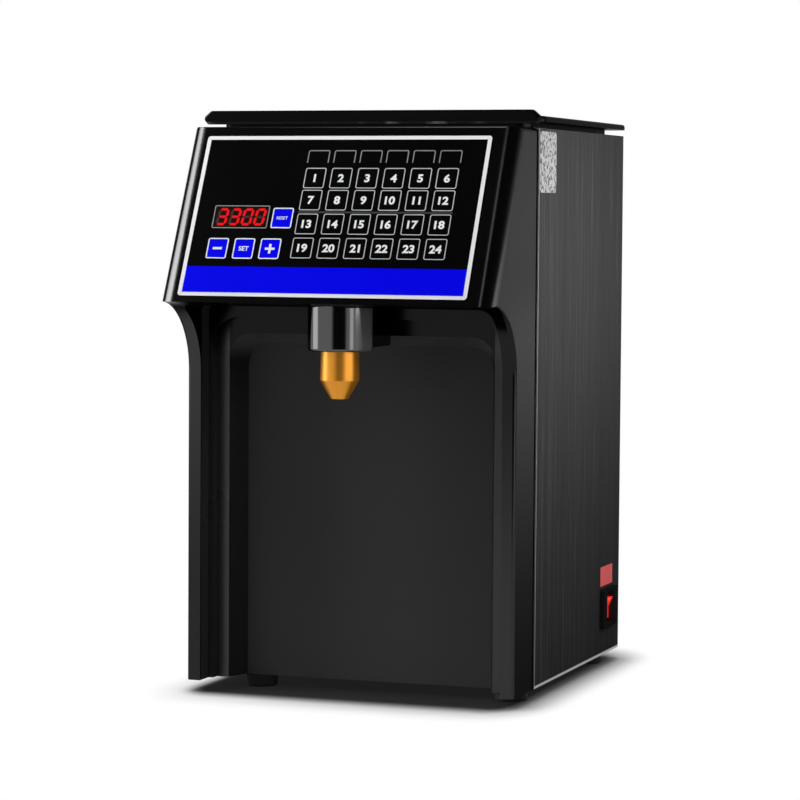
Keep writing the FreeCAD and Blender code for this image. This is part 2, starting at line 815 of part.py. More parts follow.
def top_deck():
    half = half_width - sheet - face_gap
    y0 = sheet_front + face_gap
    y1 = back_y - sheet - face_gap
    deck = box(-half, half, y0, y1, deck_bottom, shell_top)
    thin = deck_thickness
    flanges = [box(-half, -half + thin, y0, y1, deck_bottom - deck_flange, deck_bottom + 0.5),
               box(half - thin, half, y0, y1, deck_bottom - deck_flange, deck_bottom + 0.5),
               box(-half, half, y1 - thin, y1, deck_bottom - deck_flange, deck_bottom + 0.5)]
    deck = deck.fuse(flanges).cut(tank_hole(deck_clearance))
    holes = [rod(screw_diameter / 2 + stem_clearance, Vector(x, back_y - 8, z), BACK, 10)
             for x, z in case_screw_spots()]
    return deck.cut(holes).removeSplitter()


def foot_spots():
    spots = []
    for x in (foot_inset_left - half_width, half_width - foot_inset_right):
        for y in (panel_y + foot_setback, back_y - foot_back_inset):
            spots.append((x, y))
    return spots


def feet():
    made = []
    r = foot_diameter / 2
    for x, y in foot_spots():
        pad = rod(r, Vector(x, y, 0), UP, foot_height)
        pad = soften(pad, foot_edge_radius, lambda e: e.CenterOfMass.z < 0.01 and e.Length > r)
        pad = pad.cut(rod(r / 2, Vector(x, y, -1), UP, foot_recess + 1))
        stem = rod(foot_screw_diameter / 2, Vector(x, y, foot_recess), UP, base_top - foot_recess)
        made.append(pad.fuse(stem))
    return made


# ---------------------------------------------------------------- lid
def lid():
    y0 = lid_front_y
    y1 = lid_back_y
    top = lid_underside + lid_thickness
    plate = rounded_slab(-lid_half, lid_half, y0 - lip_depth / 2, y1, lid_underside, top, lid_corner)
    plate = soften(plate, lid_edge_radius, lambda e: abs(e.CenterOfMass.z - top) < 0.01)
    border = lid_panel_border
    dish = rounded_slab(-lid_half + border, lid_half - border, y0 + border, y1 - border,
                        top - lid_panel_depth, top + 1, lid_corner)
    plate = plate.cut(dish)
    low = lid_underside - lip_drop
    high = top + lip_rise
    wide = lid_half
    widest = high - lip_taper + lip_shoulder
    outline = [(-wide + lip_taper, high), (wide - lip_taper, high), (wide, widest),
               (wide - lip_foot_taper, low), (-wide + lip_foot_taper, low), (-wide, widest)]
    corners = [Vector(x, y0 - lip_depth, z) for x, z in outline]
    lip = Part.Face(Part.makePolygon(corners + corners[:1])).extrude(Vector(0, lip_depth, 0))

    lip = soften(lip, lip_nose_radius, lambda e: is_along(e, BACK) and e.CenterOfMass.z > low + 0.01)

    def lip_edge(edge):
        start, end = edge_ends(edge)
        return abs(start.y - end.y) < 0.01 and min(start.z, end.z) > low + 0.01
    lip = soften(lip, lip_edge_radius, lip_edge)
    x = half_width - skirt_inset + skirt_wall / 2
    skirt_low = shell_top + fit_gap
    skirt_front = y0 + skirt_setback
    skirt = rounded_slab(-x, x, skirt_front, skirt_back_y, skirt_low, lid_underside + 1, lid_corner)
    hollow = rounded_slab(-x + skirt_wall, x - skirt_wall, skirt_front + skirt_wall,
                          skirt_back_y - skirt_wall, skirt_low - 1, lid_underside, lid_corner - skirt_wall)
    return plate.fuse([lip, skirt.cut(hollow)]).cut(hollow).removeSplitter()


def lid_gasket():
    out = gasket_out
    ring = rounded_slab(-tank_half - out, tank_half + out, tank_y - out, tank_y + tank_length + out,
                        lid_underside - gasket_thickness, lid_underside, tank_corner + out)
    inn = out - gasket_width
    gap = rounded_slab(-tank_half - inn, tank_half + inn, tank_y - inn, tank_y + tank_length + inn,
                       lid_underside - gasket_thickness - 1, lid_underside + 1, tank_corner + inn)
    return ring.cut(gap)


# ---------------------------------------------------------------- tank and plumbing
def syrup_tank():
    def block(inset, bottom, top, foot):
        body = rounded_slab(-tank_half + inset, tank_half - inset, tank_y + inset,
                            tank_y + tank_length - inset, bottom, top, tank_corner - inset)
        return soften(body, foot, lambda e: abs(e.CenterOfMass.z - bottom) < 0.01)
    outer = block(0, tank_bottom, rim_top, tank_foot_radius)
    out = rim_width
    rim = rounded_slab(-tank_half - out, tank_half + out, tank_y - out, tank_y + tank_length + out,
                       shell_top, rim_top, tank_corner + out)
    rim = soften(rim, rim_height / 2.2, lambda e: abs(e.CenterOfMass.z - rim_top) < 0.01)
    inner = block(tank_wall, tank_bottom + tank_wall, far, tank_foot_radius - tank_wall)
    hole = rod(stem_diameter / 2 + stem_clearance, Vector(pump_x, port_y, tank_bottom - 5), UP, 20)
    return outer.fuse(rim).cut([inner, hole]).removeSplitter()


def tank_outlet():
    flange_low = tank_bottom - outlet_flange_height
    spot = Vector(pump_x, port_y, flange_low)
    flange = rod(outlet_flange_diameter / 2, spot, UP, outlet_flange_height)
    stem = rod(stem_diameter / 2, spot, UP, outlet_flange_height + tank_wall + nut_height + 1)
    body = rod(stem_diameter / 2, spot - UP * outlet_body, UP, outlet_body + 1)
    spigot = rod(hose_bore / 2 - spigot_clearance, spot - UP * (outlet_body + spigot_length), UP,
                 spigot_length + 1)
    bore = rod(bore_diameter / 2, spot - UP * 60, UP, 120)
    return flange.fuse([stem, body, spigot]).cut(bore)


def smooth_path(points):
    """Straight runs joined by tangent arcs, each as large as its two runs allow."""
    edges = []
    start = points[0]
    for before, corner, after in zip(points, points[1:], points[2:]):
        toward = (before - corner).normalize()
        away = (after - corner).normalize()
        turn = math.pi - toward.getAngle(away)
        reach = bend_share * min((before - corner).Length, (after - corner).Length)
        radius = reach / math.tan(turn / 2)
        entry = corner + toward * reach
        leave = corner + away * reach
        centre = corner + (toward + away).normalize() * (radius / math.cos(turn / 2))
        middle = centre + (corner - centre).normalize() * radius
        edges.append(Part.makeLine(start, entry))
        edges.append(Part.Arc(entry, middle, leave).toShape())
        start = leave
    edges.append(Part.makeLine(start, points[-1]))
    return Part.Wire(edges)


def swept(points, radius):
    path = smooth_path(points)
    ring = Part.Wire(Part.makeCircle(radius, points[0], points[1] - points[0]))
    return path.makePipeShell([ring], True, False), path.Length


def hose(points):
    wall, length = swept(points, hose_diameter / 2)
    bore, _ = swept(points, hose_bore / 2)
    made = wall.cut(bore)
    section = math.pi * (hose_diameter ** 2 - hose_bore ** 2) / 4
    share = made.Volume / section / length
    print("hose length %.1f, volume over section times length %.4f" % (length, share))
    return made


def suction_hose():
    top = tank_bottom - outlet_flange_height - outlet_body
    low = pump_top + spigot_length / 2
    start = Vector(pump_x, port_y, low)
    return tube(hose_diameter / 2, hose_bore / 2, start, UP, top - low)


def delivery_hose():
    lane = hose_lane_y
    begin = front_y + pump_front - spigot_length / 2
    drop = boss_top + nut_height + spigot_length / 2
    level = pump_level - port_offset
    return hose([Vector(pump_x, begin, level), Vector(pump_x, lane, level), Vector(pump_x, lane, hose_level),
                 Vector(0, nozzle_y, hose_level), Vector(0, nozzle_y, drop)])


def hose_clips():
    made = []
    lane = hose_lane_y
    r = hose_diameter / 2 + fit_gap
    for height in clip_heights:
        level = base_top + height
        spot = Vector(pump_x, lane, level)
        ring = rod(r + clip_wall, spot, UP, clip_width)
        foot = box(pump_x - r - clip_foot, pump_x + r + clip_foot,
                   panel_back, panel_back + clip_foot_thickness, level, level + clip_width)
        web = box(pump_x - r, pump_x + r, panel_back, lane, level, level + clip_width)
        behind = box(-far, far, -far, panel_back, -far, far)
        clip = ring.fuse([foot, web]).cut([rod(r, spot - UP, UP, clip_width + 2), behind])
        made.append(max(clip.Solids, key=lambda s: s.Volume))
    return made


# ---------------------------------------------------------------- gear pump
gear_distance = gear_teeth * gear_module
drive_x = pump_x - gear_distance / 2
driven_x = pump_x + gear_distance / 2
cavity_radius = gear_module * (gear_teeth + 2) / 2 + tip_clearance
chamber_front = front_y + pump_front + cover_thickness
chamber_back = chamber_front + gear_width + 2 * side_clearance
body_back = chamber_back + pump_wall
port_y = (chamber_front + chamber_back) / 2
pump_half_height = cavity_radius + pump_wall
pump_half_width = gear_distance / 2 + cavity_radius + pump_wall
pump_top = pump_level + pump_half_height
motor_front = body_back + bracket_thickness


def spur_gear(x, phase):
    """A spur gear with straight flanks, turned by phase tooth pitches."""
    pitch_radius = gear_teeth * gear_module / 2
    tip = pitch_radius + gear_module
    root = pitch_radius - root_depth * gear_module
    pitch = 2 * math.pi / gear_teeth
    half = pitch * tooth_share / 2
    tip_half = half * tip_share
    root_half = half * root_share
    points = []
    for tooth in range(gear_teeth):
        middle = (tooth + phase) * pitch
        for radius, offset in ((root, -root_half), (tip, -tip_half), (tip, tip_half), (root, root_half)):
            angle = middle + offset
            points.append(Vector(x + radius * math.cos(angle), chamber_front + side_clearance,
                                 pump_level + radius * math.sin(angle)))
    return Part.Face(Part.makePolygon(points + points[:1])).extrude(Vector(0, gear_width, 0))


def drive_gear():
    start = chamber_front + side_clearance
    length = motor_front + shaft_into_motor - start
    shaft = rod(shaft_diameter / 2, Vector(drive_x, start, pump_level), BACK, length)
    return spur_gear(drive_x, 0).fuse(shaft)


def driven_gear():
    gear = spur_gear(driven_x, 0.5)
    start = Vector(driven_x, chamber_front - 5, pump_level)
    return gear.cut(rod(shaft_diameter / 2 + running_clearance, start, BACK, 60))


def pump_body():
    body = box(pump_x - pump_half_width, pump_x + pump_half_width, chamber_front, body_back,
               pump_level - pump_half_height, pump_top)
    body = soften(body, pump_corner, lambda e: is_along(e, BACK))
    port = Vector(pump_x, port_y, pump_top)
    spigot = rod(hose_bore / 2 - spigot_clearance, port - UP, UP, spigot_length + 1)
    cuts = []
    for x in (drive_x, driven_x):
        cuts.append(rod(cavity_radius, Vector(x, chamber_front - 1, pump_level), BACK,
                        chamber_back - chamber_front + 1))
    shaft_start = Vector(drive_x, chamber_front, pump_level)
    cuts.append(rod(shaft_diameter / 2 + running_clearance, shaft_start, BACK, 60))
    cuts.append(rod(bore_diameter / 2, Vector(pump_x, port_y, pump_level), UP, far))
    pin_start = Vector(driven_x, chamber_front + side_clearance, pump_level)
    pin = rod(shaft_diameter / 2, pin_start, BACK, chamber_back - chamber_front)
    return body.fuse(spigot).cut(cuts).fuse(pin)


def pump_cover():
    front = front_y + pump_front
    plate = box(pump_x - pump_half_width, pump_x + pump_half_width, front, chamber_front,
                pump_level - pump_half_height, pump_top)
    plate = soften(plate, pump_corner, lambda e: is_along(e, BACK))
    port = Vector(pump_x, front + 1, pump_level - port_offset)
    spigot = rod(hose_bore / 2 - spigot_clearance, port, BACK * -1, spigot_length + 1)
    bore = rod(bore_diameter / 2, port + BACK * 20, BACK * -1, 60)
    return plate.fuse(spigot).cut(bore)


def pump_motor():
    r = motor_diameter / 2
    start = Vector(drive_x, motor_front, pump_level)
    gearbox = rod(r, start, BACK, gearbox_length)
    can = rod(r - gearbox_step, start + BACK * (gearbox_length - 1), BACK, motor_length - gearbox_length + 1)
    cap = rod(r / 3, start + BACK * (motor_length - 1), BACK, motor_cap_length + 1)
    bore = rod(shaft_diameter / 2 + running_clearance, start - BACK, BACK, shaft_into_motor + 3)
    return gearbox.fuse([can, cap]).cut(bore)


def motor_bracket():
    x0 = pump_x - pump_half_width
    x1 = pump_x + pump_half_width
    plate = box(x0, x1, body_back, motor_front, base_top, pump_top + bracket_margin)
    foot = box(x0, x1, body_back, motor_front + bracket_foot, base_top, base_top + bracket_thickness)
    hole = rod(shaft_diameter, Vector(drive_x, body_back - 1, pump_level), BACK, bracket_thickness + 2)
    return plate.fuse(foot).cut(hole).removeSplitter()


# ---------------------------------------------------------------- electrics
def power_supply():
    y0 = front_y + supply_front
    case = box(supply_x, supply_x + supply_width, y0, y0 + supply_length, base_top, base_top + supply_height)
    slots = []
    floor = base_top + supply_height - supply_slot_depth
    for index in range(supply_slot_count):
        x = supply_x + supply_slot_start + index * supply_slot_pitch
        slots.append(box(x, x + supply_slot_width, y0 + supply_slot_margin,
                         y0 + supply_length - supply_slot_margin, floor, far))
    return case.cut(slots)


def inlet_opening(gap):
    return box(inlet_x - inlet_body_width / 2 - gap, inlet_x + inlet_body_width / 2 + gap,
               back_y - inlet_body_depth - 2, back_y + 1,
               inlet_level - inlet_body_height / 2 - gap, inlet_level + inlet_body_height / 2 + gap)


def power_inlet():
    half = inlet_flange_width / 2
    rise = inlet_flange_height / 2
    flange = box(inlet_x - half, inlet_x + half, back_y, back_y + inlet_flange,
                 inlet_level - rise, inlet_level + rise)
    flange = soften(flange, inlet_corner, lambda e: is_along(e, BACK))
    body = box(inlet_x - inlet_body_width / 2, inlet_x + inlet_body_width / 2,
               back_y - inlet_body_depth, back_y + 1,
               inlet_level - inlet_body_height / 2, inlet_level + inlet_body_height / 2)
    socket = box(inlet_x - inlet_socket_width / 2, inlet_x + inlet_socket_width / 2,
                 back_y + inlet_flange - inlet_socket_depth, back_y + inlet_flange + 1,
                 inlet_level - inlet_socket_height / 2, inlet_level + inlet_socket_height / 2)
    upper = prism_edges(socket, lambda e: is_along(e, BACK) and e.CenterOfMass.z > inlet_level)
    socket = socket.makeChamfer(inlet_corner, upper)
    pins = []
    wide = inlet_pin_thickness / 2
    tall = inlet_pin_height / 2
    pin_start = back_y + inlet_flange - inlet_socket_depth - 1
    pin_end = back_y + inlet_flange - inlet_pin_short
    for index in (-1, 0, 1):
        x = inlet_x + index * inlet_pin_spacing
        z = inlet_level + (inlet_earth_rise if index == 0 else -inlet_line_drop)
        pins.append(box(x - wide, x + wide, pin_start, pin_end, z - tall, z + tall))
    return flange.fuse(body).cut(socket).fuse(pins).removeSplitter()


def switch_opening(gap):
    y = front_y + switch_centre
    return box(half_width - switch_body_depth - 2, half_width + 1,
               y - switch_body_length / 2 - gap, y + switch_body_length / 2 + gap,
               switch_level - switch_body_height / 2 - gap, switch_level + switch_body_height / 2 + gap)


pivot_x = half_width - rocker_pivot_inset
tilt = math.radians(rocker_tilt)
rocker_rise = rocker_half * math.tan(tilt)
rocker_swing = rocker_half * math.cos(tilt) + (rocker_mid + rocker_rise) * math.sin(tilt)
cavity_depth = rocker_mid * 2


def switch_frame():
    y = front_y + switch_centre
    bezel = box(half_width, half_width + switch_frame_proud,
                y - switch_frame_length / 2, y + switch_frame_length / 2,
                switch_level - switch_frame_height / 2, switch_level + switch_frame_height / 2)
    bezel = soften(bezel, switch_corner, lambda e: is_along(e, RIGHT))
    body = box(half_width - switch_body_depth, half_width + 1,
               y - switch_body_length / 2, y + switch_body_length / 2,
               switch_level - switch_body_height / 2, switch_level + switch_body_height / 2)
    half = rocker_width / 2 + rocker_window_gap
    rise = min(rocker_swing + rocker_end_gap / 2, switch_body_height / 2 - 0.6)
    well = box(pivot_x - cavity_depth, far, y - half, y + half, switch_level - rise, switch_level + rise)
    reach = rocker_width / 2 + trunnion_length + fit_gap
    holes = rod(trunnion_diameter / 2 + running_clearance, Vector(pivot_x, y - reach, switch_level), BACK,
                2 * reach)
    frame = bezel.fuse(body).cut([well, holes])
    tabs = []
    for side in (-1, 1):
        for row in (-1, 0, 1):
            x1 = half_width - switch_body_depth + 1
            x0 = x1 - terminal_length - 1
            middle = y + side * terminal_offset
            z = switch_level + row * terminal_pitch
            tabs.append(box(x0, x1, middle - terminal_width / 2, middle + terminal_width / 2,
                            z - terminal_thickness / 2, z + terminal_thickness / 2))
    return frame.fuse(tabs)


def switch_rocker():
    y = front_y + switch_centre
    high = rocker_mid + rocker_rise
    heel = rocker_heel
    keel = rocker_keel_half
    outline = [(high, rocker_half), (rocker_mid, 0), (high, -rocker_half), (-heel, heel - rocker_half),
               (-rocker_keel_depth, -keel), (-rocker_keel_depth, keel), (-heel, rocker_half - heel)]
    corners = [Vector(x, y - rocker_width / 2, z) for x, z in outline]
    body = Part.Face(Part.makePolygon(corners + corners[:1])).extrude(Vector(0, rocker_width, 0))
    reach = rocker_width / 2 + trunnion_length
    body = body.fuse(rod(trunnion_diameter / 2, Vector(0, y - reach, 0), BACK, 2 * reach))
    body.rotate(Vector(0, 0, 0), BACK, rocker_tilt)
    body.translate(Vector(pivot_x, 0, switch_level))
    return body


def wire_loom():
    level = base_top + loom_supply_height
    lane = loom_lane_y
    loom_level = head_bottom + loom_rise
    out_y = front_y + supply_front + loom_supply_setback
    supply_end = supply_x + supply_width
    behind = overlay_recess + board_distance + board_thickness
    board_y = face_y(loom_level) + behind / math.cos(lean)
    rest = loom_diameter / 2 * math.tan(lean) + fit_gap
    points = [Vector(supply_end, out_y, level), Vector(loom_x, out_y, level), Vector(loom_x, lane, level),
              Vector(loom_x, lane, loom_level), Vector(loom_board_x, lane, loom_level),
              Vector(loom_board_x, board_y + rest, loom_level)]
    made, length = swept(points, loom_diameter / 2)
    section = math.pi * loom_diameter ** 2 / 4
    share = made.Volume / section / length
    print("loom length %.1f, volume over section times length %.4f" % (length, share))
    return made


# ---------------------------------------------------------------- write every piece
os.makedirs("parts", exist_ok=True)
single_pieces = [front_housing, niche_panel, keypad_overlay, display_window, digit_display, control_board,
                 nozzle_holder, nozzle, body_wrap, base_plate, top_deck, lid, lid_gasket, syrup_tank,
                 tank_outlet, suction_hose, delivery_hose, pump_body, pump_cover, drive_gear, driven_gear,
                 pump_motor, motor_bracket, power_supply, power_inlet, switch_frame, switch_rocker, wire_loom]
for make in single_pieces:
    save(make.__name__, make())
for make in (screws, fitting_nuts, hose_clips, feet):
    save_group(make.__name__, make())
for name, centre in key_centres().items():
    save(name, key(centre))
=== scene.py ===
# %% [markdown]
# # A countertop fructose dispenser
# This lesson dresses a finished CAD model.  The body, lid, tank, pump and switch come in as solids that
# stay where they are.  We give each one a material, and we add what a CAD model leaves out: the printed
# keypad, the lit digits, the marks on the switch, the recesses of the screws, drawn as painted shade, and
# the brass sleeves of the inlet.

# %% Load the imported model
import json
import math
import bmesh
import bpy
from mathutils import Matrix, Vector


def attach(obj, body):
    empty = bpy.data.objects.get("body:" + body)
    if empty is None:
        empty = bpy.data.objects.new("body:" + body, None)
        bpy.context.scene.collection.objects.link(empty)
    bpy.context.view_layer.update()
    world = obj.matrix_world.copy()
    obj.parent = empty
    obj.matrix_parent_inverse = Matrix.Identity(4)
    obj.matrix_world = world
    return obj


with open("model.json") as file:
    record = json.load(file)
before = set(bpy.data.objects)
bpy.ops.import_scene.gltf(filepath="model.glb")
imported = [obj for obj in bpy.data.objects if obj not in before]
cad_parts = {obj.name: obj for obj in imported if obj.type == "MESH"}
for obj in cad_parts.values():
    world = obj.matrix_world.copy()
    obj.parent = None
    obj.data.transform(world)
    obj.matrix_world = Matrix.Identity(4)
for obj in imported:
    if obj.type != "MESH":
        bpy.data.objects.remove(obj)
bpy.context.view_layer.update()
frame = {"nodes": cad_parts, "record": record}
nodes = frame["nodes"]
slots = {part["node"]: part["material_slot"] for part in frame["record"]["subparts"]}
for node in nodes.values():
    node.data.materials.clear()
for plain in bpy.data.materials[:]:
    bpy.data.materials.remove(plain)

# %% [markdown]
# ## The camera and the studio
# The camera is a long lens that stands to the right of the machine and looks slightly
# down.  It is set from its place and three angles, because that keeps the small roll that
# a hand-held camera has.  A long lens keeps upright edges nearly parallel.

# %% The camera
yaw, pitch, roll = 0.333675, 0.0613419, 0.0068924     # radians: right of the front, down, and tilt
camera_place = Vector((0.790955, -2.284487, 0.371626))
sensor_wide, focal_length = 36.0, 137.0988            # millimetres

ahead = Vector((-math.sin(yaw) * math.cos(pitch), math.cos(yaw) * math.cos(pitch),
                -math.sin(pitch)))
level_right = Vector((math.cos(yaw), math.sin(yaw), 0))
level_up = level_right.cross(ahead)
right = math.cos(roll) * level_right + math.sin(roll) * level_up
up = right.cross(ahead)

lens = bpy.data.cameras.new("studio_camera")
lens.sensor_width = sensor_wide
lens.lens = focal_length
lens.clip_start, lens.clip_end = 0.05, 50
camera = bpy.data.objects.new("studio_camera", lens)
turn = Matrix((right, up, -ahead)).transposed().to_4x4()
camera.matrix_world = Matrix.Translation(camera_place) @ turn
bpy.context.scene.collection.objects.link(camera)
bpy.context.scene.camera = camera
bpy.context.scene.view_settings.view_transform = "Standard"
print("lens %.1f mm, %.2f m from the machine" % (lens.lens, camera_place.length))

# %% [markdown]
# ## Shader maths as plain sums
# A material is a tree of nodes.  Building it node by node hides the idea, so a small class
# wraps one output and lets us write `1 - mask` or `grain * 0.3 + 0.2`.  Each sum adds the
# Math node that does it.  Comparisons work too: `rise > 0.3` is 1 where it holds and 0
# where it doesn't.  A second class holds a tree, and one method of it makes every other
# kind of node.

# %% A value that varies over a surface
class Value:
    """One output of a node; sums on it add Math nodes."""

    def __init__(self, owner, socket):
        self.owner = owner
        self.socket = socket

    def maths(self, operation, first, second):
        return self.owner.node("ShaderNodeMath", {"operation": operation}, {0: first, 1: second})

    def __add__(self, other):
        return self.maths("ADD", self, other)

    def __radd__(self, other):
        return self.maths("ADD", other, self)

    def __sub__(self, other):
        return self.maths("SUBTRACT", self, other)

    def __rsub__(self, other):
        return self.maths("SUBTRACT", other, self)

    def __mul__(self, other):
        return self.maths("MULTIPLY", self, other)

    def __rmul__(self, other):
        return self.maths("MULTIPLY", other, self)

    def __gt__(self, other):
        return self.maths("GREATER_THAN", self, other)

    def __lt__(self, other):
        return self.maths("LESS_THAN", self, other)

    def __or__(self, other):
        """Joins two masks: the larger of the two values."""
        return self.maths("MAXIMUM", self, other)

    def __ror__(self, other):
        return self.maths("MAXIMUM", other, self)

    def __abs__(self):
        return self.maths("ABSOLUTE", self, 0.0)


# %% A tree of nodes
class NodeTree:
    """The nodes of a material or of the world."""

    def __init__(self, tree):
        self.tree = tree

    def feed(self, socket, value):
        if isinstance(value, Value):
            self.tree.links.new(value.socket, socket)
        else:
            socket.default_value = value

    def node(self, kind, settings=None, inputs=None, output=0):
        """Adds a node and gives back one of its outputs."""
        made = self.tree.nodes.new(kind)
        for title, value in (settings or {}).items():
            if title == "stops":
                for stop, (place, shade) in zip(made.color_ramp.elements, value):
                    stop.position = place
                    stop.color = (*shade, 1)
            else:
                setattr(made, title, value)
        for title, value in (inputs or {}).items():
            self.feed(made.inputs[title], value)
        return Value(self, made.outputs[output])

    def vectors(self, operation, *inputs, output=0):
        return self.node("ShaderNodeVectorMath", {"operation": operation}, dict(enumerate(inputs)), output)

    def ramp(self, value, low, high, first=0.0, last=1.0, kind="SMOOTHSTEP"):
        """Runs from first to last while value runs from low to high."""
        return self.node("ShaderNodeMapRange", {"interpolation_type": kind},
                         {"Value": value, "From Min": low, "From Max": high,
                          "To Min": first, "To Max": last})


# %% A material
class Finish(NodeTree):
    """A material with one Principled shader."""

    def __init__(self, name, color, roughness, metallic=0.0, **constants):
        self.name = name
        self.material = bpy.data.materials.new(name)
        self.material.use_nodes = True
        super().__init__(self.material.node_tree)
        self.shader = self.tree.nodes["Principled BSDF"]
        self.set("Base Color", (*color, 1))
        self.set("Roughness", roughness)
        self.set("Metallic", metallic)
        for title, value in constants.items():
            self.set(title.replace("_", " "), value)

    def set(self, title, value):
        self.feed(self.shader.inputs[title], value)

    def place(self, stretch=(1, 1, 1), shift=(0, 0, 0)):
        """Object coordinates, stretched so that a pattern runs longer one way."""
        spot = self.node("ShaderNodeTexCoord", output="Object")
        return self.node("ShaderNodeMapping", {}, {"Vector": spot, "Scale": stretch, "Location": shift})

    def axes(self):
        """X, Y and Z of a place on the piece, in metres, each as one value."""
        spot = self.place()
        return [self.node("ShaderNodeSeparateXYZ", {}, {"Vector": spot}, axis) for axis in "XYZ"]

    def noise(self, scale, detail=2.0, stretch=(1, 1, 1), roughness=0.5):
        return self.node("ShaderNodeTexNoise", {}, {"Vector": self.place(stretch), "Scale": scale,
                                                    "Detail": detail, "Roughness": roughness})

    def blend(self, factor, first, second):
        """A colour between two colours."""
        first, second = (shade if isinstance(shade, Value) else (*shade, 1) for shade in (first, second))
        return self.node("ShaderNodeMix", {"data_type": "RGBA"}, {0: factor, 6: first, 7: second}, 2)

    def bump(self, height, depth, strength=1.0):
        """Raises the surface by depth metres where height is 1."""
        self.set("Normal", self.node("ShaderNodeBump", {}, {"Height": height, "Distance": depth,
                                                            "Strength": strength}))


def grey(level):
    """A neutral colour."""
    return (level, level, level)


# %% [markdown]
# ## The lights
# The object is nearly all black, so what shapes it is what it reflects.  Broad soft panels
# give the plain fill that every surface gets.  White cards are seen only in reflections,
# and each draws one bright line down a rounded edge without making the case any paler.
# The overhead lamp fills but isn't mirrored, because its mirror image would haze the face.

# %% Lamps and cards
def lamp(name, size, power, place, target, spread=180, fills=True, mirrored=True):
    """A rectangle of light: width and height in metres, watts, where it is, where it points."""
    data = bpy.data.lights.new(name, "AREA")
    data.shape = "RECTANGLE"
    data.size, data.size_y = size
    data.energy = power
    data.spread = math.radians(spread)
    made = bpy.data.objects.new(name, data)
    aim = Vector(target) - Vector(place)
    made.matrix_world = Matrix.Translation(place) @ aim.to_track_quat("-Z", "Y").to_matrix().to_4x4()
    made.visible_camera = False
    made.visible_diffuse = fills
    made.visible_glossy = mirrored
    bpy.context.scene.collection.objects.link(made)


lamp("overhead_lamp", (0.9, 1.4), 30, (-0.3, -0.25, 1.9), (0, 0, 0.2), mirrored=False)
lamp("left_panel", (0.8, 1.9), 16, (-1.55, -0.5, 0.97), (0, -0.15, 0.35))
lamp("right_near_panel", (0.5, 0.15), 0.52, (0.45, -0.01, 0.36), (0.13, -0.01, 0.36), 120)
lamp("low_front_panel", (1.0, 0.4), 1.5, (-1.15, -1.6, 0.2), (0, -0.1, 0.15), mirrored=False)
lamp("right_low_panel", (0.3, 0.4), 0.85, (1.2, -0.8, 0.2), (0, -0.14, 0.29))
lamp("ceiling_card", (0.9, 1.4), 30, (-0.2, 0.6, 1.9), (0, 0, 0.3), fills=False)
lamp("left_high_card", (0.95, 0.55), 38, (-1.165, -0.43, 1.01), (-0.13, -0.15, 0.37), fills=False)
lamp("left_rim_card", (0.8, 1.6), 8, (-1.35, 1.0, 0.8), (-0.1, 0, 0.3), fills=False)
lamp("top_front_card", (0.24, 0.45), 0.9, (0.22, -1.15, 1.45), (0.12, -0.15, 0.37), fills=False)
print("lamps and cards:", len(bpy.data.lights))

# %% [markdown]
# ## The world
# What the camera sees of the world is plain white.  A mirror image sees the same white,
# but dimmer overhead and on the camera's own side, as it is in a studio where a person
# stands behind the camera.  Those two dim patches give the black case its dark bands.
# Plain surfaces get only a little light from the world, because the lamps light them.

# %% Nodes of the world
world = bpy.data.worlds.new("studio")
world.use_nodes = True
bpy.context.scene.world = world
sky = NodeTree(world.node_tree)
camera_ray, mirror_ray, glass_ray = (sky.node("ShaderNodeLightPath", output=title) for title in
                                     ("Is Camera Ray", "Is Glossy Ray", "Is Transmission Ray"))
direction = sky.node("ShaderNodeTexCoord", output="Generated")

# %% White all round, with a dim ceiling and a dim camera side
fill_light, ceiling_light, camera_side_light = 0.08, 0.03, 0.02
height = sky.vectors("DOT_PRODUCT", direction, (0, 0, 1), output=1)
ceiling = sky.ramp(height, 0.1, 0.45, 1.0, ceiling_light, "LINEAR")

camera_turn = math.radians(17)
toward_camera = (math.sin(camera_turn), -math.cos(camera_turn), 0)
level = sky.vectors("NORMALIZE", sky.vectors("MULTIPLY", direction, (1, 1, 0)))
frontal = sky.vectors("DOT_PRODUCT", level, toward_camera, output=1)
camera_side = sky.ramp(frontal, 0.88, 0.94, 1.0, camera_side_light, "LINEAR")

lit_or_mirrored = sky.ramp(mirror_ray, 0.0, 1.0, fill_light, ceiling * camera_side, "LINEAR")
background = world.node_tree.nodes["Background"]
sky.feed(background.inputs["Color"], (1, 1, 1, 1))
sky.feed(background.inputs["Strength"], camera_ray | glass_ray | lit_or_mirrored)
print("world nodes:", len(world.node_tree.nodes))

# %% [markdown]
# ## The floor
# The floor is a pale disc.  It carries a painted contact shadow under the machine, whose edge is a
# distance worked out from the machine's outline on the floor, a rectangle with round corners.  A few
# centimetres out it has faded into plain white, so no horizon shows.  Light that bounces off the floor
# sees it much darker, so that it doesn't pale the black case.

# %% The floor disc
disc = bmesh.new()
bmesh.ops.create_circle(disc, cap_ends=True, segments=96, radius=1.6)
floor_mesh = bpy.data.meshes.new("studio_floor")
disc.to_mesh(floor_mesh)
disc.free()
floor = bpy.data.objects.new("studio_floor", floor_mesh)
bpy.context.scene.collection.objects.link(floor)

# %% How far a place on the floor is from the machine's outline
ground = Finish("pale_floor", grey(0.9), 0.9, Specular_IOR_Level=0.0)
depth_squash = 0.6                          # makes the shadow's edge wider at the front and back
outline_middle = (0.0025, -0.017, 0)
outline_half = (0.1115, 0.073, 0)           # half sizes, less the round of the corners
outside = ground.vectors("ABSOLUTE", ground.place((1, depth_squash, 0), outline_middle))
outside = ground.vectors("MAXIMUM", ground.vectors("SUBTRACT", outside, outline_half), (0, 0, 0))
reach = ground.vectors("LENGTH", outside, output=1)
contact = ground.ramp(reach, 0.011, 0.032)
far_away = ground.ramp(reach, 0.02, 0.058)
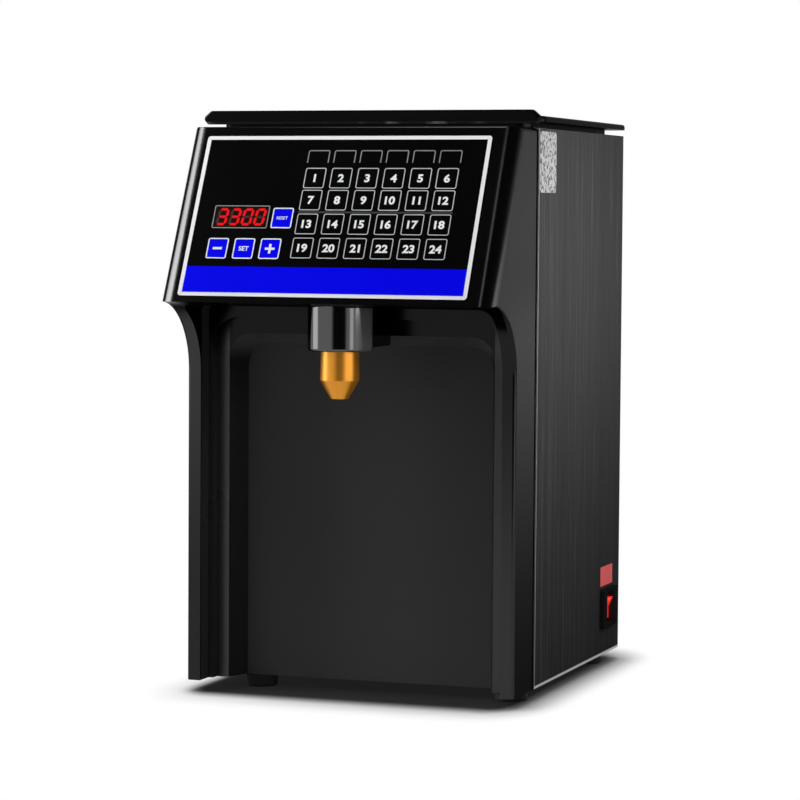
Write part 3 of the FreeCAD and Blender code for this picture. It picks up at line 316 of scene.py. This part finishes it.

# %% The floor's material: a painted shadow near the machine, white farther out
camera_ray, mirror_ray, glass_ray = (ground.node("ShaderNodeLightPath", output=title) for title in
                                     ("Is Camera Ray", "Is Glossy Ray", "Is Transmission Ray"))
shown = camera_ray | mirror_ray | glass_ray
shadow_lift = 0.012
whiteness = (far_away * (1 - shadow_lift) + shadow_lift) * shown
# Painted shadow: the floor's colour is dark inside the machine's outline and pales outward.
shadowed = ground.blend(contact, grey(0.03), grey(0.95))
ground.set("Base Color", ground.blend(shown, grey(0.15), shadowed))
white = ground.node("ShaderNodeEmission", {}, {"Color": (1, 1, 1, 1)})
plain = Value(ground, ground.shader.outputs[0])
surface = ground.node("ShaderNodeMixShader", {}, {0: whiteness, 1: plain, 2: white})
ground.feed(ground.tree.nodes["Material Output"].inputs["Surface"], surface)
floor_mesh.materials.append(ground.material)
print("floor material:", ground.name)

# %% [markdown]
# ## Finishes of the black case
# The case has four blacks.  The moulded front is glossy ABS with a faint orange peel.  The
# back panel of the cup bay has a fine matte grain.  The side sheet is brushed, and its
# hairlines run upright.  The lid is moulded too, but a little duller.  A gloss black is
# made as a metal of a very dark grey, because that alone sets how much it mirrors.

# %% A glossy black
def gloss(name, shade, roughness, peel, edge):
    """A black that mirrors only a few hundredths of what stands before it."""
    made = Finish(name, grey(shade), roughness, 0.95, Specular_IOR_Level=0.0,
                  Specular_Tint=(*grey(edge), 1))
    made.haze = made.noise(9, 4)
    made.front = made.blend(made.haze, grey(shade * 0.85), grey(shade * 1.2))
    made.set("Base Color", made.front)
    made.set("Roughness", made.haze * 0.06 + roughness)
    made.bump(made.noise(900, 1), peel, 0.25)
    return made


# %% [markdown]
# ## The moulded front and its masks
# The front is one moulding of one black, but painted light and shade set its regions apart: the flanks are
# satin with a painted gradient, the legs are painted lighter or darker with height, the stepped cheeks,
# the mouth wall and the taper of the bay are painted paler, the ceiling over the bay paler still, and the
# recess under the head, the rear rim and the flat top are painted darker.
# Cutting the mesh up would change the CAD piece, so masks draw the regions instead.  A
# mask is a number from 0 to 1 worked out from a place on the piece, and a product of masks
# is the region where all of them hold.

# %% Places on the moulding, in metres
leg_face = -0.1206                            # depths grow toward the back
mouth_front, mouth_back = -0.1195, -0.1045    # the plain wall round the bay's mouth
taper_front = -0.0958                         # the taper to the bay's panel
seam = -0.0742                                # the rim behind it is painted near black, as shade in the sheet's groove
taper_half, mouth_half, wall_half, flank_half = 0.1078, 0.1214, 0.1225, 0.13245
head_foot, crown_foot = 0.3036, 0.4362        # heights of the head's underside and its flat top
mouth_top = 0.303
arch_low, arch_high, soffit_high = 0.255, 0.292, 0.272
recess_low, leg_top = 0.225, 0.27

# %% Masks of the moulding
housing_black = gloss("gloss_black_moulding", 0.026, 0.15, 0.00004, 0.35)
sideways, depth, rise = housing_black.axes()
across = abs(sideways)
on_right = sideways > 0.0
below_head = rise < head_foot
rim = depth > seam
crown = rise > crown_foot

rounding = housing_black.ramp(rise, 0.29, 0.306, 0.1321, 0.1293)    # the head's corners start farther in
flank = housing_black.ramp(across, rounding, flank_half, kind="LINEAR")
flank = flank * flank * flank * (1 - rim)
legs = (depth < leg_face) * below_head
below_arch = housing_black.ramp(rise, arch_low, arch_high, 1.0, 0.0)
cheeks = (across > taper_half) * (across < mouth_half) * (depth > leg_face) * below_arch
arch_side = housing_black.ramp(across, 0.098, 0.112) * (across < wall_half)
mouth_wall = arch_side * (depth > mouth_front) * (depth < mouth_back) * (rise < mouth_top)
taper = (depth > taper_front) * (1 - rim) * (across < taper_half)
overhead = housing_black.ramp(rise, arch_low, soffit_high)
recess = housing_black.ramp(rise, recess_low, leg_top) * below_head
print("nodes that draw the masks:", len(housing_black.tree.nodes))

# %% Painted light and shade that change along a region
blend, ramp = housing_black.blend, housing_black.ramp
# Painted shading of the legs: the left leg is painted lighter toward the top and the right leg darker
# toward the top.
climb = ramp(rise + housing_black.haze * 0.02, 0.08, leg_top)
leg_painted_shading = blend(on_right, blend(climb, grey(0.023), grey(0.04)), blend(climb, grey(0.035), grey(0.016)))
# Painted light on the bay's cheeks: the left cheek is paler than the right, palest at its inner edge.
left_cheek_painted_light = blend(ramp(across, 0.109, 0.1165), (0.15, 0.15, 0.158), (0.065, 0.065, 0.068))
cheek_painted_light = blend(on_right, left_cheek_painted_light, (0.1, 0.1, 0.105))
# The flank is satin, with a painted gradient: darker low on the legs, paler higher up.
leg_flank_painted_gradient = blend(ramp(rise, 0.02, 0.28), grey(0.036), grey(0.088))
flank_satin_and_painted_gradient = blend(ramp(rise, 0.27, 0.33), leg_flank_painted_gradient, grey(0.067))

# %% Each region of painted light or shade laid over those before it
# Painted shade darkens the recess under the head, the rear rim and the flat top; painted light makes the
# cheeks, the mouth wall and the taper paler, and the ceiling over the bay paler still.
regions = ((recess * 0.65, grey(0.004)), (legs, leg_painted_shading), (cheeks, cheek_painted_light),
           (mouth_wall, (0.075, 0.075, 0.078)), (taper * (1 - overhead), (0.045, 0.045, 0.047)),
           (taper * overhead, (0.2, 0.2, 0.205)), (flank, flank_satin_and_painted_gradient), (rim, grey(0.002)),
           (crown, grey(0.006)))
shade = housing_black.front
for mask, painted_tone in regions:
    shade = blend(mask, shade, painted_tone)
satin = (cheeks + mouth_wall + taper) * 0.78
housing_black.set("Base Color", shade)
housing_black.set("Metallic", (1 - flank) * (1 - crown) * (1 - satin) * (1 - rim) * 0.95)
housing_black.set("Roughness", housing_black.haze * 0.06 + (flank + crown) * 0.3 + satin * 0.13 + 0.15)
print("regions of the moulding:", len(regions))

# %% [markdown]
# ## The lid, the holder and the bay's panel
# A painted highlight runs along the lower edge of the lid's front lip, broken up into glints by a noise,
# and the lip's front face is painted darker.  The nozzle holder is turned and polished, and a painted
# sheen, a paler and less mirroring band down its right side, keeps it from vanishing into the dark.

# %% The lid
lip_back, glint_back, glint_top = -0.0785, -0.079, 0.4413     # metres
lid_black = gloss("lid_black_moulding", 0.012, 0.28, 0.00006, 0.4)
_, depth, rise = lid_black.axes()
# A painted highlight along the lower edge of the lip, broken into glints by a noise.
low_edge = (rise < glint_top) * (depth < glint_back)
painted_glint = lid_black.noise(26, 3, (1, 1, 1), 0.7)
painted_glint = lid_black.blend(lid_black.ramp(painted_glint, 0.52, 0.7), grey(0.012), grey(0.11))
# Painted shade: the lip's front face is darker than the rest of the lid.
painted_dark_lip = lid_black.blend(depth < lip_back, lid_black.front, grey(0.006))
lid_black.set("Base Color", lid_black.blend(low_edge, painted_dark_lip, painted_glint))
print("lid finish:", lid_black.name, "with", len(lid_black.tree.nodes), "nodes")

# %% The nozzle holder and the bay's panel
sheen_start, sheen_full, sheen_back = 0.0165, 0.0215, -0.1375
holder_black = gloss("gloss_black_turned", 0.085, 0.09, 0.00001, 0.8)
across, depth, _ = holder_black.axes()
# A painted sheen: a paler, less mirroring band down the holder's right side.
painted_sheen = holder_black.ramp(across, sheen_start, sheen_full) * (depth < sheen_back)
holder_black.set("Base Color", holder_black.blend(painted_sheen, holder_black.front, grey(0.21)))
holder_black.set("Metallic", 1 - painted_sheen * 0.85)

bay_grey = Finish("matte_grey_panel", (0.118, 0.118, 0.119), 0.62, Specular_IOR_Level=0.03)
grain = bay_grey.noise(1400, 2)
bay_grey.set("Base Color", bay_grey.blend(grain, (0.108, 0.108, 0.109), (0.128, 0.128, 0.129)))
bay_grey.bump(grain, 0.00005, 0.3)
print("holder and panel:", holder_black.name, bay_grey.name)

# %% [markdown]
# ## The brushed sheet
# Brushing leaves fine scratches that run upright.  A noise squeezed across and stretched along Z gives
# them, and it varies the colour, the roughness and the relief together, as one scratch does.  A painted
# highlight, a pale strip, runs along the front edge of the sheet, and a fainter one along its rear edge.

# %% Brushed black
front_cut, rear_fold = -0.0657, 0.1768
brushed_black = Finish("black_brushed_sheet", grey(0.1), 0.42, 0.3, Specular_IOR_Level=0.0,
                       Specular_Tint=(*grey(0.2), 1))
hairlines = brushed_black.noise(90, 3, (16, 16, 0.1), 0.7)
broad_lines = brushed_black.noise(30, 2, (5, 5, 0.06))
brushing = hairlines * 0.75 + broad_lines * 0.25
brushed = brushed_black.node("ShaderNodeValToRGB", {"stops": ((0.36, grey(0.085)), (0.64, grey(0.13)))},
                             {"Fac": brushing})
_, depth, _ = brushed_black.axes()
# Painted highlight: a pale strip along the sheet's front edge, and a fainter one along its rear edge.
painted_edge_highlight = (depth < front_cut) + (depth > rear_fold) * 0.4
brushed_black.set("Base Color", brushed_black.blend(painted_edge_highlight, brushed, grey(0.42)))
brushed_black.set("Roughness", brushing * 0.25 + 0.34)
brushed_black.bump(hairlines, 0.00003, 0.5)
print("brushed finish:", brushed_black.name, "with", len(brushed_black.tree.nodes), "nodes")

# %% [markdown]
# ## Metals
# Bare steel, brass and aluminium share one recipe: a metallic shader whose colour and
# roughness follow fine tool marks.  Only the direction and size of the marks differ, so a
# helper takes them as a stretch.

# %% A metal with tool marks
def worked_metal(name, color, roughness, scale, stretch, spread=0.15, relief=0.00002):
    """A bare metal; spread is how far its colour strays to either side."""
    made = Finish(name, color, roughness, 1.0)
    marks = made.noise(scale, 3, stretch, 0.6)
    wear = made.noise(7, 3)
    darker = tuple(c * (1 - spread) for c in color)
    lighter = tuple(min(1, c * (1 + spread)) for c in color)
    made.set("Base Color", made.blend(marks * 0.7 + wear * 0.3, darker, lighter))
    made.set("Roughness", marks * 0.14 + wear * 0.08 + roughness)
    made.bump(marks, relief, 0.4)
    return made


# %% The metals of this machine
brass = worked_metal("nozzle_brass", (0.93, 0.365, 0.025), 0.22, 40, (1, 1, 20), 0.05, 0.000002)
brass.set("Metallic", 0.55)
nut_brass = worked_metal("nut_brass", (0.7, 0.42, 0.1), 0.24, 90, (1, 1, 1))
sheet_steel = worked_metal("bare_steel_sheet", (0.4, 0.4, 0.41), 0.38, 60, (0.2, 12, 12))
tank_steel = worked_metal("tank_steel", (0.6, 0.6, 0.61), 0.24, 50, (6, 6, 0.4))
fitting_steel = worked_metal("fitting_steel", (0.58, 0.58, 0.59), 0.22, 60, (1, 1, 30))
gear_steel = worked_metal("gear_steel", (0.45, 0.45, 0.47), 0.3, 80, (1, 8, 1))
screw_steel = worked_metal("screw_steel", (0.55, 0.55, 0.56), 0.25, 120, (1, 1, 1))
bracket_zinc = worked_metal("bracket_zinc", (0.55, 0.56, 0.6), 0.34, 25, (1, 1, 1), 0.3)
pump_cast = worked_metal("pump_aluminium", (0.6, 0.6, 0.62), 0.42, 500, (1, 1, 1), 0.12, 0.0001)
supply_case = worked_metal("supply_case", (0.62, 0.63, 0.65), 0.34, 300, (1, 1, 1), 0.1)
metals = (brass, nut_brass, sheet_steel, tank_steel, fitting_steel, gear_steel, screw_steel, bracket_zinc,
          pump_cast, supply_case)
print("metals:", len(metals))

# %% [markdown]
# ## Plastics, rubber and film
# These share a second recipe: a dyed material with a slight mottle in colour and a fine grain in relief.
# Glossy film gets almost no grain, rubber gets a lot.  The rocker is lit from inside, so it gives off a
# little light of its own.  The red sticker holds no lamp, yet it gets a painted glow that makes it
# brighter.

# %% A dyed material
def dyed(name, color, roughness, grain_size=700, relief=0.00004, mottle=0.15, specular=0.4):
    """A plastic, rubber or ink; mottle is how far its colour strays to either side."""
    made = Finish(name, color, roughness, Specular_IOR_Level=specular)
    cloud = made.noise(14, 3)
    dark = tuple(c * (1 - mottle) for c in color)
    light = tuple(min(1, c * (1 + mottle)) for c in color)
    made.set("Base Color", made.blend(cloud, dark, light))
    made.set("Roughness", cloud * 0.1 + roughness)
    made.bump(made.noise(grain_size, 2), relief, 0.35)
    return made


def printed(name, color, roughness, mottle=0.15, specular=0.1):
    """A film or an ink: the finest grain, and hardly any relief."""
    return dyed(name, color, roughness, 1500, 0.00001, mottle, specular)


# %% Film, keys and ink
film_black = printed("overlay_film", (0.002, 0.002, 0.0022), 0.2, specular=0.02)
key_black = printed("key_black", (0.002, 0.002, 0.0022), 0.2, specular=0.02)
key_blue = printed("key_blue", (0.002, 0.002, 0.97), 0.22, 0.06, 0.02)
band_blue = printed("band_blue", (0.002, 0.002, 0.97), 0.22, 0.06, 0.02)
print_white = printed("print_white", (0.9, 0.9, 0.92), 0.35, 0.04, 0.2)
outline_grey = printed("outline_grey", (0.62, 0.62, 0.64), 0.35, 0.3)
print_grey = printed("print_grey", grey(0.3), 0.35, 0.3)
print_dark = printed("print_dark", grey(0.03), 0.35, 0.2, 0.2)
lens_red = printed("smoked_red_lens", (0.014, 0.004, 0.004), 0.12, specular=0.15)
print("film and inks:", film_black.name, key_black.name, key_blue.name, lens_red.name)

# %% Plastic and rubber
module_red = dyed("red_digit_module", (0.12, 0.012, 0.012), 0.4)
board_green = dyed("circuit_board", (0.02, 0.12, 0.05), 0.35, 300, 0.0001, 0.4)
silicone = dyed("grey_silicone", grey(0.4), 0.6, 500, 0.0001)
hose_milky = dyed("clear_hose", (0.7, 0.72, 0.7), 0.3, 200, 0.00003)
motor_paint = dyed("motor_paint", (0.03, 0.03, 0.035), 0.35, 400, 0.0001)
inlet_black = dyed("inlet_black", grey(0.02), 0.5, 900, 0.00008)
switch_black = dyed("switch_black", grey(0.03), 0.45, 900, 0.00008, specular=0.0)
loom_black = dyed("loom_sleeve", grey(0.02), 0.7, 600, 0.0003)
clip_black = dyed("clip_nylon", grey(0.05), 0.5, 600, 0.0001)
foot_rubber = dyed("foot_rubber", grey(0.018), 0.75, 400, 0.0002)

# %% What gives off light: the lit rocker, and the red sticker's painted glow
rocker_red = dyed("rocker_red", (0.85, 0.02, 0.01), 0.25, 900, 0.00002, 0.1, 0.08)
rocker_glow = rocker_red.blend(rocker_red.noise(60, 2), (0.5, 0.01, 0.006), (0.65, 0.02, 0.01))
rocker_red.set("Emission Color", rocker_glow)
rocker_red.set("Emission Strength", 1.2)
sticker_red = dyed("red_sticker", (0.95, 0.13, 0.13), 0.45, 900, 0.00005, 0.12, 0.03)
# Painted light: the sticker glows, though nothing lights it from inside.
painted_glow = sticker_red.blend(sticker_red.noise(120, 2), (0.19, 0.026, 0.026), (0.25, 0.034, 0.034))
sticker_red.set("Emission Color", painted_glow)
sticker_red.set("Emission Strength", 1.0)
print("finishes with a glow:", rocker_red.name, sticker_red.name)

# %% The pale sticker's mottled paper
sticker_white = dyed("sticker_paper", grey(0.5), 0.55, 900, 0.00005, 0.2, 0.03)
specks = sticker_white.ramp(sticker_white.noise(300, 2, (1, 1, 1), 0.6), 0.49, 0.58)
sticker_white.set("Base Color", sticker_white.blend(specks, grey(0.7), grey(0.2)))

# %% [markdown]
# ## Handing out the finishes
# Each CAD piece belongs to a material slot, and a slot has the name of a finish.  One
# dictionary from names to finishes therefore dresses every piece, and a slot without a
# finish would stop the script at once.

# %% Give every CAD piece its finish
finishes = {made.name: made for made in (
    *metals, housing_black, lid_black, holder_black, bay_grey, brushed_black, film_black, key_black,
    key_blue, lens_red, module_red, board_green, silicone, hose_milky, motor_paint, inlet_black,
    switch_black, rocker_red, loom_black, clip_black, foot_rubber)}
for name, node in nodes.items():
    node.data.materials.append(finishes[slots[name]].material)
print("finishes in use:", len(finishes))

# %% [markdown]
# ## Printing on the leaning face
# The control face leans back, so its print is drawn flat first: X across, Y up the slope.
# One matrix then lays it on the face.  Each printed shape starts as a rectangle whose
# corners are bevelled round.  An inset makes a frame of it, and a small extrusion gives
# the ink its thickness, which keeps it clear of the film below.

# %% The leaning face
MM = 0.001
face_foot, face_lean = (0, -0.181, 0.304), 26.565     # metres, and degrees from upright
face = Matrix.Translation(face_foot) @ Matrix.Rotation(math.radians(90 - face_lean), 4, "X")
film_top, key_top = 0.4 * MM, 0.7 * MM
ink = 0.05 * MM
print_base = film_top + 0.01 * MM                     # print keeps clear of the film below it


# %% Helpers for flat shapes
def card(width, height, corner, segments=5):
    """A flat rectangle with round corners, sizes in millimetres."""
    flat = bmesh.new()
    bmesh.ops.create_grid(flat, x_segments=1, y_segments=1, size=0.5)
    bmesh.ops.scale(flat, vec=(width * MM, height * MM, 1), verts=flat.verts)
    if corner:
        bmesh.ops.bevel(flat, geom=flat.verts[:], offset=corner * MM, offset_type="OFFSET",
                        affect="VERTICES", segments=segments, profile=0.5, material=-1)
    return flat


def hollow(flat, line):
    """Keeps only a border of the given width."""
    middle = flat.faces[:]
    bmesh.ops.inset_region(flat, faces=middle, thickness=line * MM, use_even_offset=True,
                           use_boundary=True)
    bmesh.ops.delete(flat, geom=middle, context="FACES")
    return flat


def thicken(flat, thickness):
    """Gives a flat shape its thickness, upward."""
    raised = bmesh.ops.extrude_face_region(flat, geom=flat.faces[:], use_keep_orig=True)["geom"]
    moved = [item for item in raised if isinstance(item, bmesh.types.BMVert)]
    bmesh.ops.translate(flat, vec=(0, 0, thickness), verts=moved)
    bmesh.ops.recalc_face_normals(flat, faces=flat.faces)
    return flat


def at(flat, x, y, z=0.0):
    """Moves a shape: x and y in millimetres, z in metres."""
    bmesh.ops.translate(flat, vec=(x * MM, y * MM, z), verts=flat.verts)
    return flat


def gather(shapes):
    """One bmesh of several."""
    whole = bmesh.new()
    for shape in shapes:
        spare = bpy.data.meshes.new("spare")
        shape.to_mesh(spare)
        shape.free()
        whole.from_mesh(spare)
        bpy.data.meshes.remove(spare)
    return whole


def cross_of(arm, thick, corner=0.0):
    """Two crossed bars that don't lie on each other."""
    stub = (arm - thick) / 2
    stubs = [at(card(thick, stub, corner / 2), 0, way * (thick + stub) / 2) for way in (1, -1)]
    return gather([card(arm, thick, corner), *stubs])


def piece(name, shape, finish, body, placed=None):
    """Turns a bmesh into a finished object that rides on a body."""
    if placed is not None:
        bmesh.ops.transform(shape, matrix=placed, verts=shape.verts)
    mesh = bpy.data.meshes.new(name)
    shape.to_mesh(mesh)
    shape.free()
    mesh.materials.append(finish.material)
    mesh.shade_flat()
    made = bpy.data.objects.new(name, mesh)
    bpy.context.scene.collection.objects.link(made)
    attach(made, body)


def on_face(name, flat, finish, x, u, body="dispenser_body", slot="overlay_film", lift=print_base):
    """Inks a flat shape on the leaning face: x across and u up the slope, in millimetres."""
    piece(name, at(thicken(flat, ink), x, u, lift), finish, body, face)


# %% [markdown]
# ## Letters and numerals
# Numerals come from Blender's own font.  The curve's offset makes them bold.  They are
# turned into a mesh while they still lie flat, and the mesh is then laid on the face.

# %% Flat lettering
capital_share = 0.7              # how much of the font's size a capital takes up
merge_distance = 1e-6            # metres


def lettering(words, height, bold=0.03, squeeze=1.0):
    """A flat bmesh of text, centred, with capitals of the given height in millimetres."""
    curve = bpy.data.curves.new("letters", "FONT")
    curve.body = words
    curve.size = height * MM / capital_share
    curve.align_x = "CENTER"
    curve.align_y = "CENTER"
    curve.offset = bold * height * MM
    curve.resolution_u = 4
    spare = bpy.data.objects.new("letters", curve)
    bpy.context.scene.collection.objects.link(spare)
    bpy.context.view_layer.update()
    solved = spare.evaluated_get(bpy.context.evaluated_depsgraph_get())
    mesh = bpy.data.meshes.new_from_object(solved)
    bpy.data.objects.remove(spare)
    flat = bmesh.new()
    flat.from_mesh(mesh)
    bpy.data.meshes.remove(mesh)
    bmesh.ops.remove_doubles(flat, verts=flat.verts, dist=merge_distance)
    xs = [v.co.x for v in flat.verts]
    ys = [v.co.y for v in flat.verts]
    middle = Vector(((min(xs) + max(xs)) / 2, (min(ys) + max(ys)) / 2, 0))
    bmesh.ops.translate(flat, vec=-middle, verts=flat.verts)
    bmesh.ops.scale(flat, vec=(squeeze, 1, 1), verts=flat.verts)
    return flat


# %% [markdown]
# ## The keypad film
# The film carries a white border, a blue band along the bottom, a row of open brackets
# above the keys and a thin bar between the second and third rows.  The band is left
# without words.

# %% Border and band
film_x0, film_x1, film_u0, film_u1 = -116.6, 111.8, 5.0, 140.0
film_x, film_u = (film_x0 + film_x1) / 2, (film_u0 + film_u1) / 2
film_wide, film_tall = film_x1 - film_x0, film_u1 - film_u0
border_line, border_corner, edge_room = 3.1, 2.4, 0.3
border = hollow(card(film_wide - edge_room, film_tall - edge_room, border_corner), border_line)
on_face("film_border", border, print_white, film_x, film_u)
band_low, band_high = 8.1, 29.7
band = card(film_wide - 6.5, band_high - band_low, 0.4)
on_face("film_band", band, band_blue, film_x, (band_low + band_high) / 2)
print("film %.1f x %.1f mm" % (film_wide, film_tall))

# %% Brackets over the keys, and the bar
key_pitch = 20.96
key_columns = [-23.15 + key_pitch * column for column in range(6)]
key_rows = (104.0, 85.5, 65.5, 45.5)
bracket_wide, bracket_top, bracket_foot = 17.3, 127.7, 117.2
bracket_middle = bracket_top - bracket_wide / 2
brackets = []
for x in key_columns:
    shape = hollow(card(bracket_wide, bracket_wide, 1.4), 0.75)
    bmesh.ops.bisect_plane(shape, geom=shape.verts[:] + shape.edges[:] + shape.faces[:], dist=1e-7,
                           plane_co=(0, (bracket_foot - bracket_middle) * MM, 0), plane_no=(0, 1, 0),
                           clear_inner=True)
    brackets.append(at(thicken(shape, ink), x, bracket_middle, print_base))
piece("film_brackets", gather(brackets), print_grey, "dispenser_body", face)
bar = card(key_columns[-1] - key_columns[0] + bracket_wide, 1.6, 0)
on_face("film_bar", bar, print_dark, (key_columns[0] + key_columns[-1]) / 2, 75.5)
print("brackets:", len(brackets))

# %% [markdown]
# ## The keys
# Each key is a separate pad that gives a little when pressed, so its outline and its
# numeral ride on the key's own body, not on the film.

# %% Outlines and numerals of the number keys
key_wide, key_tall, key_corner, inside = 16.6, 17.2, 1.6, 0.1


def key_outline(line):
    """A frame just inside the edge of a key; line is how thick it is drawn."""
    return hollow(card(key_wide - inside, key_tall - inside, key_corner), line)


number = 0
for u in key_rows:
    for x in key_columns:
        number += 1
        where = (x, u, "button_%02d" % number, "key_black", key_top)
        on_face("key_%02d_outline" % number, key_outline(0.65), outline_grey, *where)
        on_face("key_%02d_numeral" % number, lettering(str(number), 6.2, 0.05, 1.08), print_white, *where)
print("number keys:", number)

# %% Signs of the four blue keys
blue_keys = {"minus": (-91.2, 44.6, card(7.4, 1.9, 0)), "set": (-69.9, 44.6, lettering("SET", 3.6, 0.03)),
             "plus": (-48.8, 44.6, cross_of(7.8, 1.9)),
             "reset": (-43.4, 70.3, lettering("RESET", 2.5, 0.02, 0.95))}
for name, (x, u, sign) in blue_keys.items():
    where = (x, u, "button_%s" % name, "key_blue", key_top)
    on_face("key_%s_outline" % name, key_outline(0.9), print_white, *where)
    on_face("key_%s_sign" % name, sign, print_white, *where)
print("blue keys:", list(blue_keys))

# %% [markdown]
# ## The digit display
# Seven bars make each digit.  A bar is a rectangle whose corners are cut until its ends
# come to a point.  Lit bars glow red and dark bars stay faintly visible, as they do behind
# a smoked lens.  The digits lean a few degrees.

# %% Finishes of lit and dark bars
glow_red = Finish("lit_segment", (0.3, 0.004, 0.004), 0.4, Specular_IOR_Level=0.02)
bar_glow = glow_red.blend(glow_red.noise(400, 2), (0.55, 0.002, 0.002), (0.68, 0.004, 0.004))
glow_red.set("Emission Color", bar_glow)
glow_red.set("Emission Strength", 0.9)
unlit_red = dyed("unlit_segment", (0.035, 0.008, 0.008), 0.4, specular=0.1)

# %% Where the bars go and which are lit
digit_wide, digit_tall, bar_thick, bar_gap, digit_pitch = 6.5, 12.4, 2.1, 0.5, 10.1
half_w, half_h = digit_wide / 2, digit_tall / 2
bars = {"top": (0, half_h, 0), "middle": (0, 0, 0), "bottom": (0, -half_h, 0),
        "upper_left": (-half_w, half_h / 2, 90), "upper_right": (half_w, half_h / 2, 90),
        "lower_left": (-half_w, -half_h / 2, 90), "lower_right": (half_w, -half_h / 2, 90)}
lit_for = {"3": ("top", "middle", "bottom", "upper_right", "lower_right"),
           "0": ("top", "bottom", "upper_left", "upper_right", "lower_left", "lower_right")}
slant = Matrix.Identity(4)
slant[0][1] = math.tan(math.radians(6))

# %% The four digits and the display's rim
window_x, window_u = -77.35, 71.15          # the middle of the window
digits_x, rim_x = window_x + 0.6, window_x + 0.3
digits = "3300"
lit, unlit = [], []
for place, digit in enumerate(digits):
    digit_x = digits_x + (place - (len(digits) - 1) / 2) * digit_pitch
    for name, (x, y, turned) in bars.items():
        long_side = digit_wide if turned == 0 else half_h
        shape = card(long_side - bar_gap, bar_thick, bar_thick * 0.47, 1)
        upright = Matrix.Rotation(math.radians(turned), 3, "Z")
        bmesh.ops.rotate(shape, matrix=upright, verts=shape.verts)
        at(thicken(shape, ink), x, y)
        bmesh.ops.transform(shape, matrix=slant, verts=shape.verts)
        at(shape, digit_x, window_u, print_base)
        (lit if name in lit_for[digit] else unlit).append(shape)
print("bars: %d lit, %d dark" % (len(lit), len(unlit)))
piece("display_lit_bars", gather(lit), glow_red, "dispenser_body", face)
piece("display_dark_bars", gather(unlit), unlit_red, "dispenser_body", face)
on_face("display_rim", hollow(card(44.7, 19.1, 1.2), 0.7), print_grey, rim_x, window_u)

# %% [markdown]
# ## Stickers on the side
# Two stickers sit on the right side sheet: a pale one near the top front corner and a
# small red one over the switch.  They carry no print.  Each is a thin card laid against
# the sheet.

# %% Two plain stickers
turned_right = Matrix.Rotation(math.radians(90), 4, "Z") @ Matrix.Rotation(math.radians(90), 4, "X")
side = Matrix.Translation((0.1325, 0, 0)) @ turned_right
paper = 0.12 * MM
pale_y, pale_z = -43.0, 411.0
pale_card = at(thicken(card(44.0, 46.5, 4.0), paper), pale_y, pale_z)
piece("pale_sticker", pale_card, sticker_white, "dispenser_body", side)
red_y, red_z = 138.75, 74.0
red_card = at(thicken(card(36.5, 16.0, 1.0), paper), red_y, red_z)
piece("red_sticker", red_card, sticker_red, "dispenser_body", side)
print("stickers at heights", pale_z, "and", red_z, "mm")

# %% [markdown]
# ## Small marks on the switch, the screws and the inlet
# The rocker's two arms lean opposite ways, so each mark gets its own small frame: X along the switch, Y up
# the arm and Z outward.  The screws at the back get a cross recess, drawn as painted shade: dark bars set
# on the head.  The inlet's pins get brass sleeves.

# %% Marks on the rocker
rocker_middle, rocker_tilt = (0.1274, 0.1397, 0.04775), math.radians(12)
rocker_frame = Matrix.Translation(rocker_middle) @ Matrix.Rotation(rocker_tilt, 4, "Y")
arm_rise, arm_reach, arm_height = 1.913, 9.0, 4.5
rocker_marks = (("I", "on", 1), ("O", "off", -1))      # the I is on the upper arm
for mark, name, way in rocker_marks:
    up_arm = Vector((way * arm_rise, 0, arm_reach)).normalized()
    outward = Vector((arm_reach, 0, -way * arm_rise)).normalized()
    spot = Matrix((Vector((0, 1, 0)), up_arm, outward)).transposed().to_4x4()
    spot.translation = Vector((arm_height + arm_rise / 2, 0, way * arm_reach / 2)) * MM
    sign = at(thicken(lettering(mark, 3.6, 0.02), ink), 0, 0, 0.02 * MM)
    piece("rocker_mark_" + name, sign, print_white, "rocker", rocker_frame @ spot)
print("rocker marks:", len(rocker_marks))

# %% Cross recesses of the screws, drawn as painted shade
# Painted shade: dark bars stand in for the shade inside each cross recess.
painted_recess_shade = printed("screw_recess", grey(0.03), 0.6, 0.2)
backward = Matrix.Rotation(math.radians(180), 4, "Z") @ Matrix.Rotation(math.radians(90), 4, "X")
head_back = 0.18021
screw_spots = ((-0.1125, 0.025), (0.1125, 0.025), (-0.1125, 0.430), (0.1125, 0.430))
for number, (x, z) in enumerate(screw_spots, 1):
    piece("screw_recess_%d" % number, thicken(cross_of(3.2, 0.8, 0.2), ink), painted_recess_shade,
          "dispenser_body", Matrix.Translation((x, head_back, z)) @ backward)
print("screw recesses:", len(screw_spots))

# %% Brass sleeves of the inlet's pins
inlet_x, inlet_y, inlet_z = 0.07, 0.1746, 0.052
sleeves = []
for aside, lift in ((-7.0, -1.5), (0.0, 2.0), (7.0, -1.5)):
    sleeve = bmesh.new()
    bmesh.ops.create_cube(sleeve, size=1.0)
    bmesh.ops.scale(sleeve, vec=(2.2 * MM, 9.0 * MM, 4.2 * MM), verts=sleeve.verts)
    middle = (inlet_x + aside * MM, inlet_y, inlet_z + lift * MM)
    bmesh.ops.translate(sleeve, vec=middle, verts=sleeve.verts)
    sleeves.append(sleeve)
piece("inlet_pin_sleeves", gather(sleeves), nut_brass, "dispenser_body")
print("pin sleeves:", len(sleeves))
